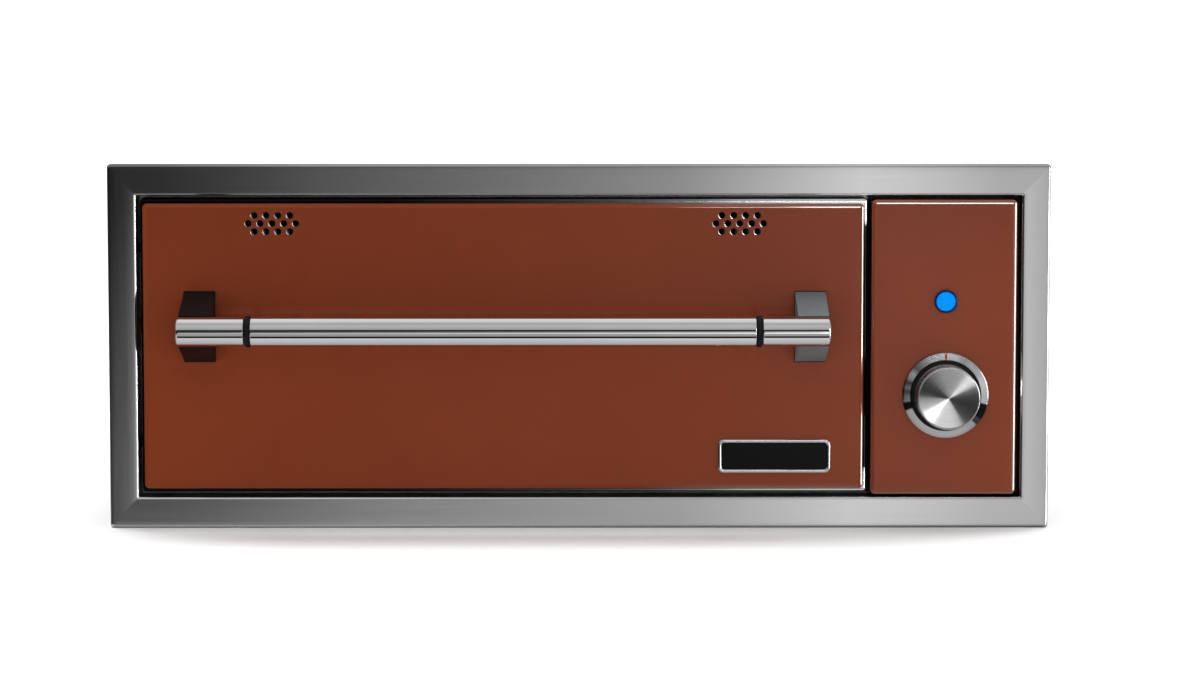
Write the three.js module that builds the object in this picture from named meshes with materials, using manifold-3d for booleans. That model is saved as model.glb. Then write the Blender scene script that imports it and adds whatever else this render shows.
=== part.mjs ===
// Built-in warming drawer, 30 inch class, as an assembly of separate pieces.
// Millimetres, +Z up. The origin is the centre of the cabinet cut-out, in the plane of the cabinet's face:
// X runs across the front, -Y comes out of the cabinet towards the user, +Y runs into the cabinet.
import * as THREE from "three";
import { mergeVertices } from "three/addons/utils/BufferGeometryUtils.js";
import Module from "manifold-3d";

// ---- driving dimensions -------------------------------------------------------------------------
const TRIM_W = 762, TRIM_H = 295.4; // trim frame, outside
const OPEN_W = 715.6, OPEN_H = 245; // opening in the trim frame
const TRIM_Y = -12; // front face of the trim, the cabinet's face is Y = 0
const TRIM_BACK = 15; // back edge of the trim's inner return
const SKIN_Y = -14; // front of the painted faces, 2 mm proud of the trim
const SHELL_X = 360.2, SHELL_Z = 124.9, SHELL_BACK = 556.7; // outer shell, outside
const SHEET = 0.9; // sheet of the shell and covers
const GAP = 0.3; // air between pieces that touch

const DRAWER_X = -60; // centre of the drawer and its cavity
const PANEL = [-352.5, 230.3, -115.5, 116.1]; // painted drawer front: x0, x1, z0, z1
const LINER = [-354.6, 233.3, -118.3, 120.5]; // stainless liner behind it
const LINER_BACK = 10; // inner face of the drawer front
const CTRL = [236.4, 354.1, -120.1, 119.2]; // painted control panel
const VENT_X = [-247.8, 129.6], VENT_Z = 100, VENT_PITCH = 9.6, VENT_ROW = 6.55, VENT_R = 2.5;
const VENT_TRAVEL = 4.8; // half a pitch closes the vents

const BAR_X = -59.9, BAR_Y = -64, BAR_Z = 16.6, BAR_R = 12.2, BAR_HALF = 260.5; // handle
const FERRULE_IN = 205.9, FERRULE_R = 11.7, RING_MID = 203.1, RING_W = 3.8, RING_R = 12.6;
const POST_IN = 234.4, POST_OUT = 259.1, POST_HALF_Z = 28.3;
const BADGE = [158.1, -88.7, 90.9, 27.1]; // centre x, z, width, height

const KNOB_X = 296.7, KNOB_Z = -39.2, KNOB_R = 25.2, KNOB_FRONT = -44.5, BEZEL_R = 34.9, BEZEL_IN = 28.5;
const LAMP_X = 296.7, LAMP_Z = 36.8, LAMP_R = 9.35;

const CAV_X = 283.2, CAV_Z = 108, CAV_FRONT = 15.3, CAV_BACK = 525; // cavity, inside half width, half height
const CAV_SHEET = 0.8;
const PART_X = 237.3; // left face of the wall between cavity and control compartment
const SLIDE_Z = 10, SLIDE_L = 500; // centre height and length of the drawer slides
const FRAME_X = 269.9, FRAME_BACK = 502; // drawer frame, outside
const ELEMENT_Z = -98, ELEMENT_R = 3.6;
const ELEMENT_END = 262, ELEMENT_Y = [440, 480];
const SENSOR_Y = 200, SENSOR_Z = 96;
const RACK_WIRES = 14; // spaces between the rack's cross wires

// ---- helpers ------------------------------------------------------------------------------------
const wasm = await Module();
wasm.setup();

// A three.js geometry as a solid that can be cut and joined.
function solid(geometry) {
  const g = geometry.index ? geometry.clone() : mergeVertices(geometry.clone());
  g.deleteAttribute("normal");
  g.deleteAttribute("uv");
  const m = mergeVertices(g, 1e-4);
  const s = new wasm.Manifold(
    new wasm.Mesh({
      numProp: 3,
      vertProperties: new Float32Array(m.attributes.position.array),
      triVerts: new Uint32Array(m.index.array),
    }),
  );
  return s;
}
function geometryOf(s) {
  const m = s.getMesh(), n = m.numProp;
  const v = new Float32Array(m.numVert * 3);
  for (let i = 0; i < m.numVert; i++) v.set(m.vertProperties.subarray(i * n, i * n + 3), i * 3);
  const g = new THREE.BufferGeometry();
  g.setAttribute("position", new THREE.BufferAttribute(v, 3));
  g.setIndex(new THREE.BufferAttribute(new Uint32Array(m.triVerts), 1));
  g.computeVertexNormals();
  return g;
}
const join = (...list) => list.reduce((a, b) => a.add(b));
const cut = (a, ...list) => list.reduce((s, b) => s.subtract(b), a);

// Box between two corners.
function box(x0, x1, y0, y1, z0, z1) {
  const g = new THREE.BoxGeometry(x1 - x0, y1 - y0, z1 - z0);
  g.translate((x0 + x1) / 2, (y0 + y1) / 2, (z0 + z1) / 2);
  return solid(g);
}
// Cylinder along an axis, from a to b on that axis, centred on the other two coordinates in X, Y, Z order.
function rod(axis, r, a, b, c, d, sides = 16) {
  const g = new THREE.CylinderGeometry(r, r, Math.abs(b - a), sides);
  const mid = (a + b) / 2;
  if (axis === "x") g.rotateZ(Math.PI / 2).translate(mid, c, d);
  else if (axis === "y") g.translate(c, mid, d);
  else g.rotateX(Math.PI / 2).translate(c, d, mid);
  return solid(g);
}
// Outline of a rectangle with rounded corners.
function roundRect(x0, x1, z0, z1, r) {
  const s = new THREE.Shape();
  s.moveTo(x0 + r, z0);
  s.lineTo(x1 - r, z0);
  if (r) s.absarc(x1 - r, z0 + r, r, -Math.PI / 2, 0, false);
  s.lineTo(x1, z1 - r);
  if (r) s.absarc(x1 - r, z1 - r, r, 0, Math.PI / 2, false);
  s.lineTo(x0 + r, z1);
  if (r) s.absarc(x0 + r, z1 - r, r, Math.PI / 2, Math.PI, false);
  s.lineTo(x0, z0 + r);
  if (r) s.absarc(x0 + r, z0 + r, r, Math.PI, 1.5 * Math.PI, false);
  return s;
}
// A shape drawn in X and Z, given depth from y0 to y1.
function plateXZ(shape, y0, y1, curveSegments = 2) {
  const g = new THREE.ExtrudeGeometry(shape, { depth: y1 - y0, bevelEnabled: false, curveSegments });
  g.rotateX(Math.PI / 2).translate(0, y1, 0);
  return solid(g);
}
// A shape drawn in X and Y, given height from z0 to z1.
function plateXY(shape, z0, z1, curveSegments = 4) {
  const g = new THREE.ExtrudeGeometry(shape, { depth: z1 - z0, bevelEnabled: false, curveSegments });
  g.translate(0, 0, z0);
  return solid(g);
}
// A shape drawn in Y and Z, given width from x0 to x1.
function plateYZ(shape, x0, x1, curveSegments = 4) {
  const g = new THREE.ExtrudeGeometry(shape, { depth: x1 - x0, bevelEnabled: false, curveSegments });
  g.applyMatrix4(new THREE.Matrix4().makeBasis(new THREE.Vector3(0, 1, 0), new THREE.Vector3(0, 0, 1), new THREE.Vector3(1, 0, 0)));
  g.translate(x0, 0, 0);
  return solid(g);
}
function polygon(points) {
  return new THREE.Shape(points.map(([a, b]) => new THREE.Vector2(a, b)));
}
// Ring between two rounded rectangles in X and Z.
function ringXZ([ax0, ax1, az0, az1], ar, [bx0, bx1, bz0, bz1], br, y0, y1) {
  return cut(plateXZ(roundRect(ax0, ax1, az0, az1, ar), y0, y1), plateXZ(roundRect(bx0, bx1, bz0, bz1, br), y0 - 1, y1 + 1));
}
// Profile of [radius, y] points turned about an axis along Y through (x, z). A profile is given from front to back on its outside.
function turned(points, x, z, sides = 32) {
  const pts = points.map(([r, y]) => new THREE.Vector2(r, y));
  const g = new THREE.LatheGeometry(pts, sides);
  g.translate(x, 0, z);
  const flat = mergeVertices((g.deleteAttribute("normal"), g.deleteAttribute("uv"), g), 1e-4);
  let s = solid(flat);
  if (s.volume() < 0) {
    const idx = flat.index.array;
    for (let i = 0; i < idx.length; i += 3) [idx[i + 1], idx[i + 2]] = [idx[i + 2], idx[i + 1]];
    s = solid(flat);
  }
  return s;
}
// Profile of [radius, x] points turned about an axis along X through (y, z).
function turnedX(points, y, z, sides = 24) {
  const pts = points.map(([r, x]) => new THREE.Vector2(r, x));
  const g = new THREE.LatheGeometry(pts, sides);
  g.rotateZ(-Math.PI / 2).translate(0, y, z);
  const flat = mergeVertices((g.deleteAttribute("normal"), g.deleteAttribute("uv"), g), 1e-4);
  let s = solid(flat);
  if (s.volume() < 0) {
    const idx = flat.index.array;
    for (let i = 0; i < idx.length; i += 3) [idx[i + 1], idx[i + 2]] = [idx[i + 2], idx[i + 1]];
    s = solid(flat);
  }
  return s;
}
// Round tube along points.
function tube(points, r, sides, steps, tension = 0) {
  const path = new THREE.CatmullRomCurve3(points.map((p) => new THREE.Vector3(...p)), false, "catmullrom", tension);
  const s = new THREE.Shape();
  for (let i = 0; i < sides; i++) {
    const a = (2 * Math.PI * i) / sides;
    if (i) s.lineTo(r * Math.cos(a), r * Math.sin(a));
    else s.moveTo(r, 0);
  }
  s.closePath();
  return solid(new THREE.ExtrudeGeometry(s, { steps, extrudePath: path, bevelEnabled: false }));
}
// Points of a flat path with round corners, all at one height.
function roundedPath(corners, z, r, perCorner = 4) {
  const out = [];
  corners.forEach(([x, y], i) => {
    if (i === 0 || i === corners.length - 1) return out.push([x, y, z]);
    const a = new THREE.Vector2(...corners[i - 1]), b = new THREE.Vector2(x, y), c = new THREE.Vector2(...corners[i + 1]);
    const p = b.clone().add(a.clone().sub(b).setLength(r)), q = b.clone().add(c.clone().sub(b).setLength(r));
    const centre = p.clone().add(q).sub(b);
    const t0 = Math.atan2(p.y - centre.y, p.x - centre.x);
    let t1 = Math.atan2(q.y - centre.y, q.x - centre.x);
    while (t1 - t0 > Math.PI) t1 -= 2 * Math.PI;
    while (t1 - t0 < -Math.PI) t1 += 2 * Math.PI;
    for (let k = 0; k <= perCorner; k++) {
      const t = t0 + ((t1 - t0) * k) / perCorner;
      out.push([centre.x + r * Math.cos(t), centre.y + r * Math.sin(t), z]);
    }
  });
  return out;
}
// Tube that follows its points exactly: straight between them, with a mitre at each.
function pipe(points, r, sides) {
  const P = points.map((p) => new THREE.Vector3(...p));
  const dir = P.slice(1).map((p, i) => p.clone().sub(P[i]).normalize());
  let side = new THREE.Vector3(0, 0, 1).cross(dir[0]);
  if (side.length() < 0.1) side = new THREE.Vector3(1, 0, 0).cross(dir[0]);
  side.normalize();
  const rings = P.map((p, i) => {
    const d0 = dir[Math.max(0, i - 1)], d1 = dir[Math.min(dir.length - 1, i)];
    if (i > 0 && i < P.length - 1) side.applyQuaternion(new THREE.Quaternion().setFromUnitVectors(d0, d1));
    const up = d1.clone().cross(side);
    const normal = d0.clone().add(d1).normalize();
    return Array.from({ length: sides }, (_, k) => {
      const a = (2 * Math.PI * k) / sides;
      const v = side.clone().multiplyScalar(r * Math.cos(a)).add(up.clone().multiplyScalar(r * Math.sin(a)));
      return p.clone().add(v.addScaledVector(d1, -v.dot(normal) / d1.dot(normal)));
    });
  });
  const pos = [], tri = [];
  rings.flat().forEach((v) => pos.push(v.x, v.y, v.z));
  for (let i = 0; i + 1 < rings.length; i++)
    for (let k = 0; k < sides; k++) {
      const a = i * sides + k, b = i * sides + ((k + 1) % sides);
      tri.push(a, b, a + sides, b, b + sides, a + sides);
    }
  for (let k = 1; k + 1 < sides; k++) {
    tri.push(0, k + 1, k);
    const o = (rings.length - 1) * sides;
    tri.push(o, o + k, o + k + 1);
  }
  const g = new THREE.BufferGeometry();
  g.setAttribute("position", new THREE.BufferAttribute(new Float32Array(pos), 3));
  g.setIndex(tri);
  let s = solid(g);
  if (s.volume() < 0) {
    for (let i = 0; i < tri.length; i += 3) [tri[i + 1], tri[i + 2]] = [tri[i + 2], tri[i + 1]];
    g.setIndex(tri);
    s = solid(g);
  }
  return s;
}

// ---- materials ----------------------------------------------------------------------------------
const mat = (color, roughness, metalness) => new THREE.MeshStandardMaterial({ color, roughness, metalness });
const brushed = () => mat(0x9b9da0, 0.35, 1);
const chrome = () => mat(0xd8d9dc, 0.08, 1);
const galvanised = () => mat(0xa8adb0, 0.5, 0.9);
const stainless = () => mat(0xb4b5b7, 0.28, 1);
const paint = () => mat(0x743620, 0.2, 0);
const wool = () => mat(0xc9c3a8, 0.95, 0);
const black = () => mat(0x101010, 0.5, 0);
const ceramic = () => mat(0xe6e2d8, 0.6, 0);
const brass = () => mat(0xb08d57, 0.35, 1);

const part = new THREE.Group();
part.name = "built_in_warming_drawer";
const groups = {};
for (const name of ["housing", "drawer", "vent", "slide_left", "slide_right", "pan", "rack", "knob"]) {
  groups[name] = new THREE.Group();
  groups[name].name = name + "_group";
}
part.add(groups.housing, groups.drawer, groups.knob);
groups.housing.add(groups.slide_left, groups.slide_right);
groups.drawer.add(groups.vent, groups.pan);
groups.pan.add(groups.rack);
function add(group, name, s, material) {
  const mesh = new THREE.Mesh(geometryOf(s), material);
  mesh.name = name;
  groups[group].add(mesh);
  return s;
}

// ---- trim frame ---------------------------------------------------------------------------------
const ox = OPEN_W / 2, oz = OPEN_H / 2, T = 1.2;
const trimOut = [-TRIM_W / 2, TRIM_W / 2, -TRIM_H / 2, TRIM_H / 2];
const grow = ([a, b, c, d], by) => [a - by, b + by, c - by, d + by];
const opening = [-ox, ox, -oz, oz];
const TRIM_SCREWS = [[-1, -80], [-1, 80], [1, -80], [1, 80]];
add("housing", "trim_frame",
  cut(
    join(
      ringXZ(trimOut, 2.5, opening, 0, TRIM_Y, TRIM_Y + T), // face
      ringXZ(trimOut, 2.5, grow(trimOut, -T), 1.3, TRIM_Y, 0), // outer return
      ringXZ(trimOut, 2.5, grow(trimOut, -13), 0, -T, 0), // hem against the cabinet's face
      ringXZ(grow(opening, T), 0, opening, 0, TRIM_Y, TRIM_BACK), // inner return
    ),
    ...TRIM_SCREWS.map(([s, z]) => rod("x", 2.4, s * 355, s * 362, 8, z, 12)),
  ),
  brushed());
TRIM_SCREWS.forEach(([s, z], i) => {
  const head = s * (ox - GAP), inner = s * (ox - 2.0), end = s * (SHELL_X + 5);
  add("housing", "trim_screw_" + (i + 1), join(rod("x", 4, Math.min(head, inner), Math.max(head, inner), 8, z, 14), rod("x", 2, Math.min(inner, end), Math.max(inner, end), 8, z, 10)), stainless());
});

// ---- outer shell, covers and inner walls --------------------------------------------------------
const sx = SHELL_X, sz = SHELL_Z, st = SHEET;
let shell = join(
  box(-sx, sx, 0.3, SHELL_BACK, -sz, -sz + st),
  box(-sx, -sx + st, 0.3, SHELL_BACK, -sz, 124),
  box(sx - st, sx, 0.3, SHELL_BACK, -sz, 124),
  box(-sx, -sx + 13, 16, SHELL_BACK, 123.1, 124),
  box(sx - 13, sx, 16, SHELL_BACK, 123.1, 124),
  box(-sx, -sx + 13, SHELL_BACK - st, SHELL_BACK, -sz, 124),
  box(sx - 13, sx, SHELL_BACK - st, SHELL_BACK, -sz, 124),
  box(-sx, sx, SHELL_BACK - st, SHELL_BACK, -sz, -sz + 13),
);
shell = cut(
  shell,
  ...TRIM_SCREWS.map(([s, z]) => rod("x", 2.4, s * 358, s * 362, 8, z, 12)),
  // cooling slots beside the control compartment
  ...[0, 1, 2, 3, 4, 5, 6].map((i) => box(sx - 3, sx + 3, 90, 190, 30 + i * 10, 34 + i * 10)),
  ...[0, 1, 2, 3, 4, 5, 6].map((i) => box(sx - 3, sx + 3, 90, 190, -94 + i * 10, -90 + i * 10)),
);
add("housing", "outer_shell", shell, galvanised());
add("housing", "top_cover", join(box(-sx, sx, 0.3, SHELL_BACK, 124.3, 125.2)), galvanised());
const GLAND = [300, -90];
add("housing", "rear_cover",
  cut(
    box(-sx, sx, 557, 557.9, -sz, 125.2),
    rod("y", 11.3, 550, 565, GLAND[0], GLAND[1], 20),
    ...[0, 1, 2, 3, 4, 5].map((i) => box(262, 338, 550, 565, 20 + i * 12, 25 + i * 12)),
  ), galvanised());
add("housing", "cord_bushing",
  turned([[6, 561.5], [9, 563.5], [14.5, 561.5], [15.5, 559.5], [15.5, 558.2], [10.9, 558.2], [10.9, 549], [6, 549], [6, 561.5]], GLAND[0], GLAND[1], 16), black());
add("housing", "control_partition",
  cut(
    box(PART_X, PART_X + st, 12.6, 555.5, -122.2, 122.2),
    ...ELEMENT_Y.map((y) => rod("x", 7, 230, 245, y, ELEMENT_Z, 10)),
    rod("x", 4, 230, 245, SENSOR_Y, SENSOR_Z, 12),
    rod("x", 9, 230, 245, 330, 70, 16),
  ), galvanised());

// ---- heated cavity ------------------------------------------------------------------------------
const cx0 = DRAWER_X - CAV_X, cx1 = DRAWER_X + CAV_X, ct = CAV_SHEET;
const cavIn = [cx0, cx1, -CAV_Z, CAV_Z];
const wallHoles = (r) => [...ELEMENT_Y.map((y) => rod("x", r, cx1 - 3, PART_X - 0.1, y, ELEMENT_Z, 12)), rod("x", r - 2, cx1 - 3, PART_X - 0.1, SENSOR_Y, SENSOR_Z, 12)];
add("housing", "cavity_liner",
  cut(
    join(
      ringXZ(grow(cavIn, ct), 0, cavIn, 0, CAV_FRONT, CAV_BACK + ct),
      ringXZ([-357.5, 236.9, -121.9, 121.9], 0, cavIn, 0, CAV_FRONT, CAV_FRONT + ct),
      box(cx0 - ct, cx1 + ct, CAV_BACK, CAV_BACK + ct, -CAV_Z - ct, CAV_Z + ct),
    ),
    ...wallHoles(6),
  ), stainless());
add("housing", "insulation_wrap",
  cut(
    ringXZ([-359, 237, -122.8, 122.8], 0, grow(cavIn, ct + GAP), 0, CAV_FRONT + ct + GAP, 526),
    ...wallHoles(7),
  ), wool());
add("housing", "insulation_rear", box(-359, 237, 526.3, 555.4, -122.8, 122.8), wool());

const elementPath = roundedPath(
  [[ELEMENT_END, ELEMENT_Y[1]], [-320, ELEMENT_Y[1]], [-320, 90], [180, 90], [180, ELEMENT_Y[0]], [ELEMENT_END, ELEMENT_Y[0]]], ELEMENT_Z, 36, 4);
add("housing", "heating_element", pipe(elementPath, ELEMENT_R, 10), mat(0x6d6a66, 0.55, 0.8));
const bracket = (x, y, alongX) => {
  const u = alongX ? [x - 9, x + 9, y - 5, y + 5] : [x - 5, x + 5, y - 9, y + 9];
  const base = box(u[0] - 6, u[1] + 6, u[2] - (alongX ? 0 : 6), u[3] + (alongX ? 0 : 6), -107.7, -106.7);
  const post = box(x - 5, x + 5, y - 5, y + 5, -107.7, ELEMENT_Z - ELEMENT_R - GAP);
  return join(base, post);
};
add("housing", "element_bracket_front", bracket(-60, 90, true), stainless());
add("housing", "element_bracket_left", bracket(-320, 280, false), stainless());
let guard = join(
  box(cx0 + 6, cx1 - 6, 24, 518, -88.4, -87.4),
  box(cx0 + 6, cx0 + 7, 24, 518, -107.7, -87.4),
  box(cx1 - 7, cx1 - 6, 24, 400, -107.7, -87.4),
);
for (let i = 0; i < 4; i++)
  for (let j = 0; j < 5; j++) guard = guard.subtract(box(-305 + i * 132, -210 + i * 132, 70 + j * 90, 82 + j * 90, -95, -80));
add("housing", "element_guard", guard, stainless());

// ---- drawer slides ------------------------------------------------------------------------------
// Section of one side, measured from the cavity's wall: s is +1 on the left, -1 on the right.
function channel(s, wall, web, flangeFrom, flangeTo, half, y0, y1) {
  const X = (u) => wall + s * u;
  const b = (u0, u1, z0, z1) => box(Math.min(X(u0), X(u1)), Math.max(X(u0), X(u1)), y0, y1, z0, z1);
  return join(
    b(web[0], web[1], SLIDE_Z - half, SLIDE_Z + half),
    b(flangeFrom, flangeTo, SLIDE_Z + half - 1.2, SLIDE_Z + half),
    b(flangeFrom, flangeTo, SLIDE_Z - half, SLIDE_Z - half + 1.2),
  );
}
for (const [side, s] of [["left", 1], ["right", -1]]) {
  const wall = s > 0 ? cx0 + GAP : cx1 - GAP;
  add("housing", "slide_outer_" + side, channel(s, wall, [0, 1.2], 0, 10.6, 23, 18, 18 + SLIDE_L), galvanised());
  add("slide_" + side, "slide_middle_" + side, channel(s, wall, [2.0, 3.2], 2.0, 11.2, 18.7, 20, 500), galvanised());
  add("drawer", "slide_inner_" + side, channel(s, wall, [11.5, 12.7], 4.0, 12.7, 14.4, 20, 500), galvanised());
}

// ---- drawer front -------------------------------------------------------------------------------
const ventHoles = (r, y0, y1) =>
  VENT_X.flatMap((x) => [
    ...[-2, -1, 0, 1, 2].map((i) => rod("y", r, y0, y1, x + i * VENT_PITCH, VENT_Z, 8)),
    ...[-1.5, -0.5, 0.5, 1.5].flatMap((i) => [-1, 1].map((k) => rod("y", r, y0, y1, x + i * VENT_PITCH, VENT_Z + k * VENT_ROW, 8))),
  ]);
const ventSlots = (y0, y1) => VENT_X.flatMap((x) => [-2, -1, 0, 1, 2].map((i) => box(x + i * VENT_PITCH - 2.2, x + i * VENT_PITCH + 2.2, y0, y1, VENT_Z - 7.5, VENT_Z + 7.5)));
const postX = [BAR_X - (POST_IN + POST_OUT) / 2, BAR_X + (POST_IN + POST_OUT) / 2];
const screwHoles = (r, y0, y1) => postX.map((x) => rod("y", r, y0, y1, x, BAR_Z, 12));
// A painted pan: face, folded edges and a chamfer that stands for the bend.
function pan(r, y0, y1, sheet, radius) {
  const bend = 1.6;
  const out = join(plateXZ(roundRect(...grow(r, -bend), radius), y0, y0 + 0.9), plateXZ(roundRect(...grow(r, -bend / 3), radius), y0 + 0.4, y0 + 1.2), plateXZ(roundRect(...r, radius), y0 + 1.0, y1));
  return cut(out, plateXZ(roundRect(...grow(r, -bend - 0.4), radius), y0 + sheet, y1 + 1));
}
add("drawer", "drawer_front_panel",
  cut(pan(PANEL, SKIN_Y, -11.3, 1, 2.5), ...ventHoles(VENT_R, -20, 0), ...screwHoles(2.8, -20, 0)), paint());
const L = LINER;
add("drawer", "drawer_front_liner",
  cut(
    join(
      plateXZ(roundRect(...L, 2), LINER_BACK - 1, LINER_BACK),
      ringXZ(L, 2, grow(L, -1), 1, -11, LINER_BACK),
      ringXZ(L, 2, grow(L, -14), 1, -11, -10),
      // guides of the vent slider
      box(-300, 182, LINER_BACK - 0.5, 12.4, 87, 89), box(-300, 182, 11.6, 12.4, 87, 90.5),
      box(-300, 182, LINER_BACK - 0.5, 12.4, 111, 112.8), box(-300, 182, 11.6, 12.4, 109.5, 112.8),
    ),
    ...ventSlots(0, 20), ...screwHoles(2.8, 0, 20),
  ), stainless());
add("drawer", "drawer_front_insulation",
  cut(
    plateXZ(roundRect(...grow(L, -1.5), 1), -9.7, LINER_BACK - 1.3),
    ...VENT_X.map((x) => box(x - 27, x + 27, -20, 20, VENT_Z - 12, VENT_Z + 12)),
    ...screwHoles(2.8, -20, 20),
  ), wool());
add("drawer", "drawer_gasket", ringXZ([-353, 231.8, -117.6, 119.6], 6, [-347, 225.8, -111.6, 113.6], 3, LINER_BACK + GAP, CAV_FRONT - GAP), mat(0x3a3a3c, 0.9, 0));
add("vent", "vent_slider",
  cut(
    join(box(-292, 174, LINER_BACK + 0.4, 11.2, 89.5, 110.5), box(DRAWER_X - 11, DRAWER_X + 11, LINER_BACK + 0.4, 14.2, 99, 100.2)),
    ...ventSlots(0, 20),
  ), stainless());

// ---- handle -------------------------------------------------------------------------------------
const barEnd = RING_MID - RING_W / 2 - GAP;
add("drawer", "handle_bar", turnedX([[0, -barEnd], [BAR_R - 0.6, -barEnd], [BAR_R, -barEnd + 0.6], [BAR_R, barEnd - 0.6], [BAR_R - 0.6, barEnd], [0, barEnd]].map(([r, x]) => [r, x + BAR_X]), BAR_Y, BAR_Z, 28), chrome());
for (const [side, s] of [["left", -1], ["right", 1]]) {
  const X = (u) => BAR_X + s * u;
  const prof = (list) => turnedX(list.map(([r, u]) => [r, X(u)]), BAR_Y, BAR_Z, 20);
  add("drawer", "handle_ring_" + side, prof([[0, RING_MID - RING_W / 2], [RING_R, RING_MID - RING_W / 2], [RING_R, RING_MID + RING_W / 2], [0, RING_MID + RING_W / 2]]), black());
  add("drawer", "handle_ferrule_" + side,
    prof([[0, FERRULE_IN - 0.6], [10.2, FERRULE_IN - 0.6], [10.2, FERRULE_IN + 1.6], [FERRULE_R - 0.5, FERRULE_IN + 1.6], [FERRULE_R, FERRULE_IN + 2.2], [FERRULE_R, BAR_HALF - 2.4], [FERRULE_R - 1, BAR_HALF - 0.9], [7, BAR_HALF - 0.1], [0, BAR_HALF]]), chrome());
  const side_ = polygon([[SKIN_Y - GAP, BAR_Z - POST_HALF_Z], [SKIN_Y - GAP, BAR_Z + POST_HALF_Z], [BAR_Y, BAR_Z + FERRULE_R], [BAR_Y, BAR_Z - FERRULE_R]]);
  add("drawer", "handle_post_" + side,
    cut(plateYZ(side_, Math.min(X(POST_IN), X(POST_OUT)), Math.max(X(POST_IN), X(POST_OUT))),
      rod("x", FERRULE_R + GAP + 0.15, BAR_X - 300, BAR_X + 300, BAR_Y, BAR_Z, 20),
      box(-400, 400, -90, BAR_Y + 2, -100, 100),
      rod("y", 2.7, -36, 0, X((POST_IN + POST_OUT) / 2), BAR_Z, 12)), mat(0x55575a, 0.3, 1));
  add("drawer", "handle_screw_" + side,
    join(rod("y", 4.6, LINER_BACK + GAP, LINER_BACK + 3.3, X((POST_IN + POST_OUT) / 2), BAR_Z, 14), rod("y", 2.4, -34, LINER_BACK + 1, X((POST_IN + POST_OUT) / 2), BAR_Z, 10)), stainless());
}

// ---- badge place --------------------------------------------------------------------------------
const bad = (by, y0, y1, r) => plateXZ(roundRect(BADGE[0] - BADGE[2] / 2 + by, BADGE[0] + BADGE[2] / 2 - by, BADGE[1] - BADGE[3] / 2 + by, BADGE[1] + BADGE[3] / 2 - by, r), y0, y1, 3);
add("drawer", "badge_rim", cut(bad(0, -16.4, SKIN_Y - GAP, 4.5), bad(2.7, -20, 0, 2.4)), chrome());
add("drawer", "badge_plate", bad(3.0, -15.4, SKIN_Y - GAP, 2.1), black());

// ---- drawer frame, pan and rack -----------------------------------------------------------------
const fx0 = DRAWER_X - FRAME_X, fx1 = DRAWER_X + FRAME_X;
const rr = (x0, x1, y0, y1, r) => roundRect(x0, x1, y0, y1, r);
add("drawer", "drawer_frame",
  cut(
    join(
      plateXY(rr(fx0, fx1, 11.2, FRAME_BACK, 0), -45, 71.5),
      plateXY(rr(fx0 + 0.3, fx1 - 0.3, 11.5, FRAME_BACK - 0.3, 0), 70.8, 72),
    ),
    plateXY(rr(fx0 + 1.5, fx1 - 1.5, 12.6, FRAME_BACK - 1.5, 0), -60, 70.8),
    plateXY(rr(fx0 + 14, fx1 - 14, 24, 487.5, 0), 60, 80),
    box(fx0 + 14.5, fx1 - 14.5, 5, 20, -60, 46), // below the front cross bar
    // lightening holes
    ...[0, 1, 2].map((i) => box(fx0 + 60 + i * 150, fx0 + 180 + i * 150, FRAME_BACK - 5, FRAME_BACK + 5, 0, 50)),
  ), stainless());
const px0 = fx0 + 15.5, px1 = fx1 - 15.5, py0 = 25.5, py1 = 486, pz0 = -80;
add("pan", "drawer_pan",
  cut(
    join(
      plateXY(rr(px0 + 4, px1 - 4, py0 + 4, py1 - 4, 22), pz0, pz0 + 4, 3),
      plateXY(rr(px0, px1, py0, py1, 26), pz0 + 4, 73.3, 3),
      plateXY(rr(px0 - 10.5, px1 + 10.5, py0 - 10.5, py1 + 10.5, 20), 72.3, 73.3, 3),
    ),
    plateXY(rr(px0 + 5, px1 - 5, py0 + 5, py1 - 5, 21), pz0 + 1, pz0 + 6, 3),
    plateXY(rr(px0 + 1, px1 - 1, py0 + 1, py1 - 1, 25), pz0 + 5, 80, 3),
  ), stainless());
// Wire rack over the rear half of the pan: a grid, and a bent leg wire under each end.
const rx0 = -296, rx1 = 176, ry0 = 240, ry1 = 450, rz = -20, foot = pz0 + 1 + GAP;
const wire = (axis, r, a, b, c, d) => rod(axis, r, a, b, c, d, 6);
let rack = join(
  wire("x", 2.4, rx0 - 2.4, rx1 + 2.4, ry0, rz), wire("x", 2.4, rx0 - 2.4, rx1 + 2.4, ry1, rz),
  wire("y", 2.4, ry0 - 2.4, ry1 + 2.4, rx0, rz), wire("y", 2.4, ry0 - 2.4, ry1 + 2.4, rx1, rz),
  wire("x", 2.0, rx0, rx1, (ry0 + ry1) / 2, rz - 1.8),
);
for (let i = 1; i < RACK_WIRES; i++) rack = rack.add(wire("y", 1.6, ry0, ry1, rx0 + ((rx1 - rx0) * i) / RACK_WIRES, rz + 0.6));
add("rack", "wire_rack", rack, chrome());
for (const [side, x] of [["left", rx0], ["right", rx1]])
  add("rack", "rack_leg_" + side,
    join(
      wire("z", 2.4, foot, rz - 2.4 - GAP, x, ry0 + 30), wire("z", 2.4, foot, rz - 2.4 - GAP, x, ry1 - 30),
      wire("y", 2.4, ry0 + 27.6, ry1 - 27.6, x, foot + 2.6),
    ), chrome());

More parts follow.
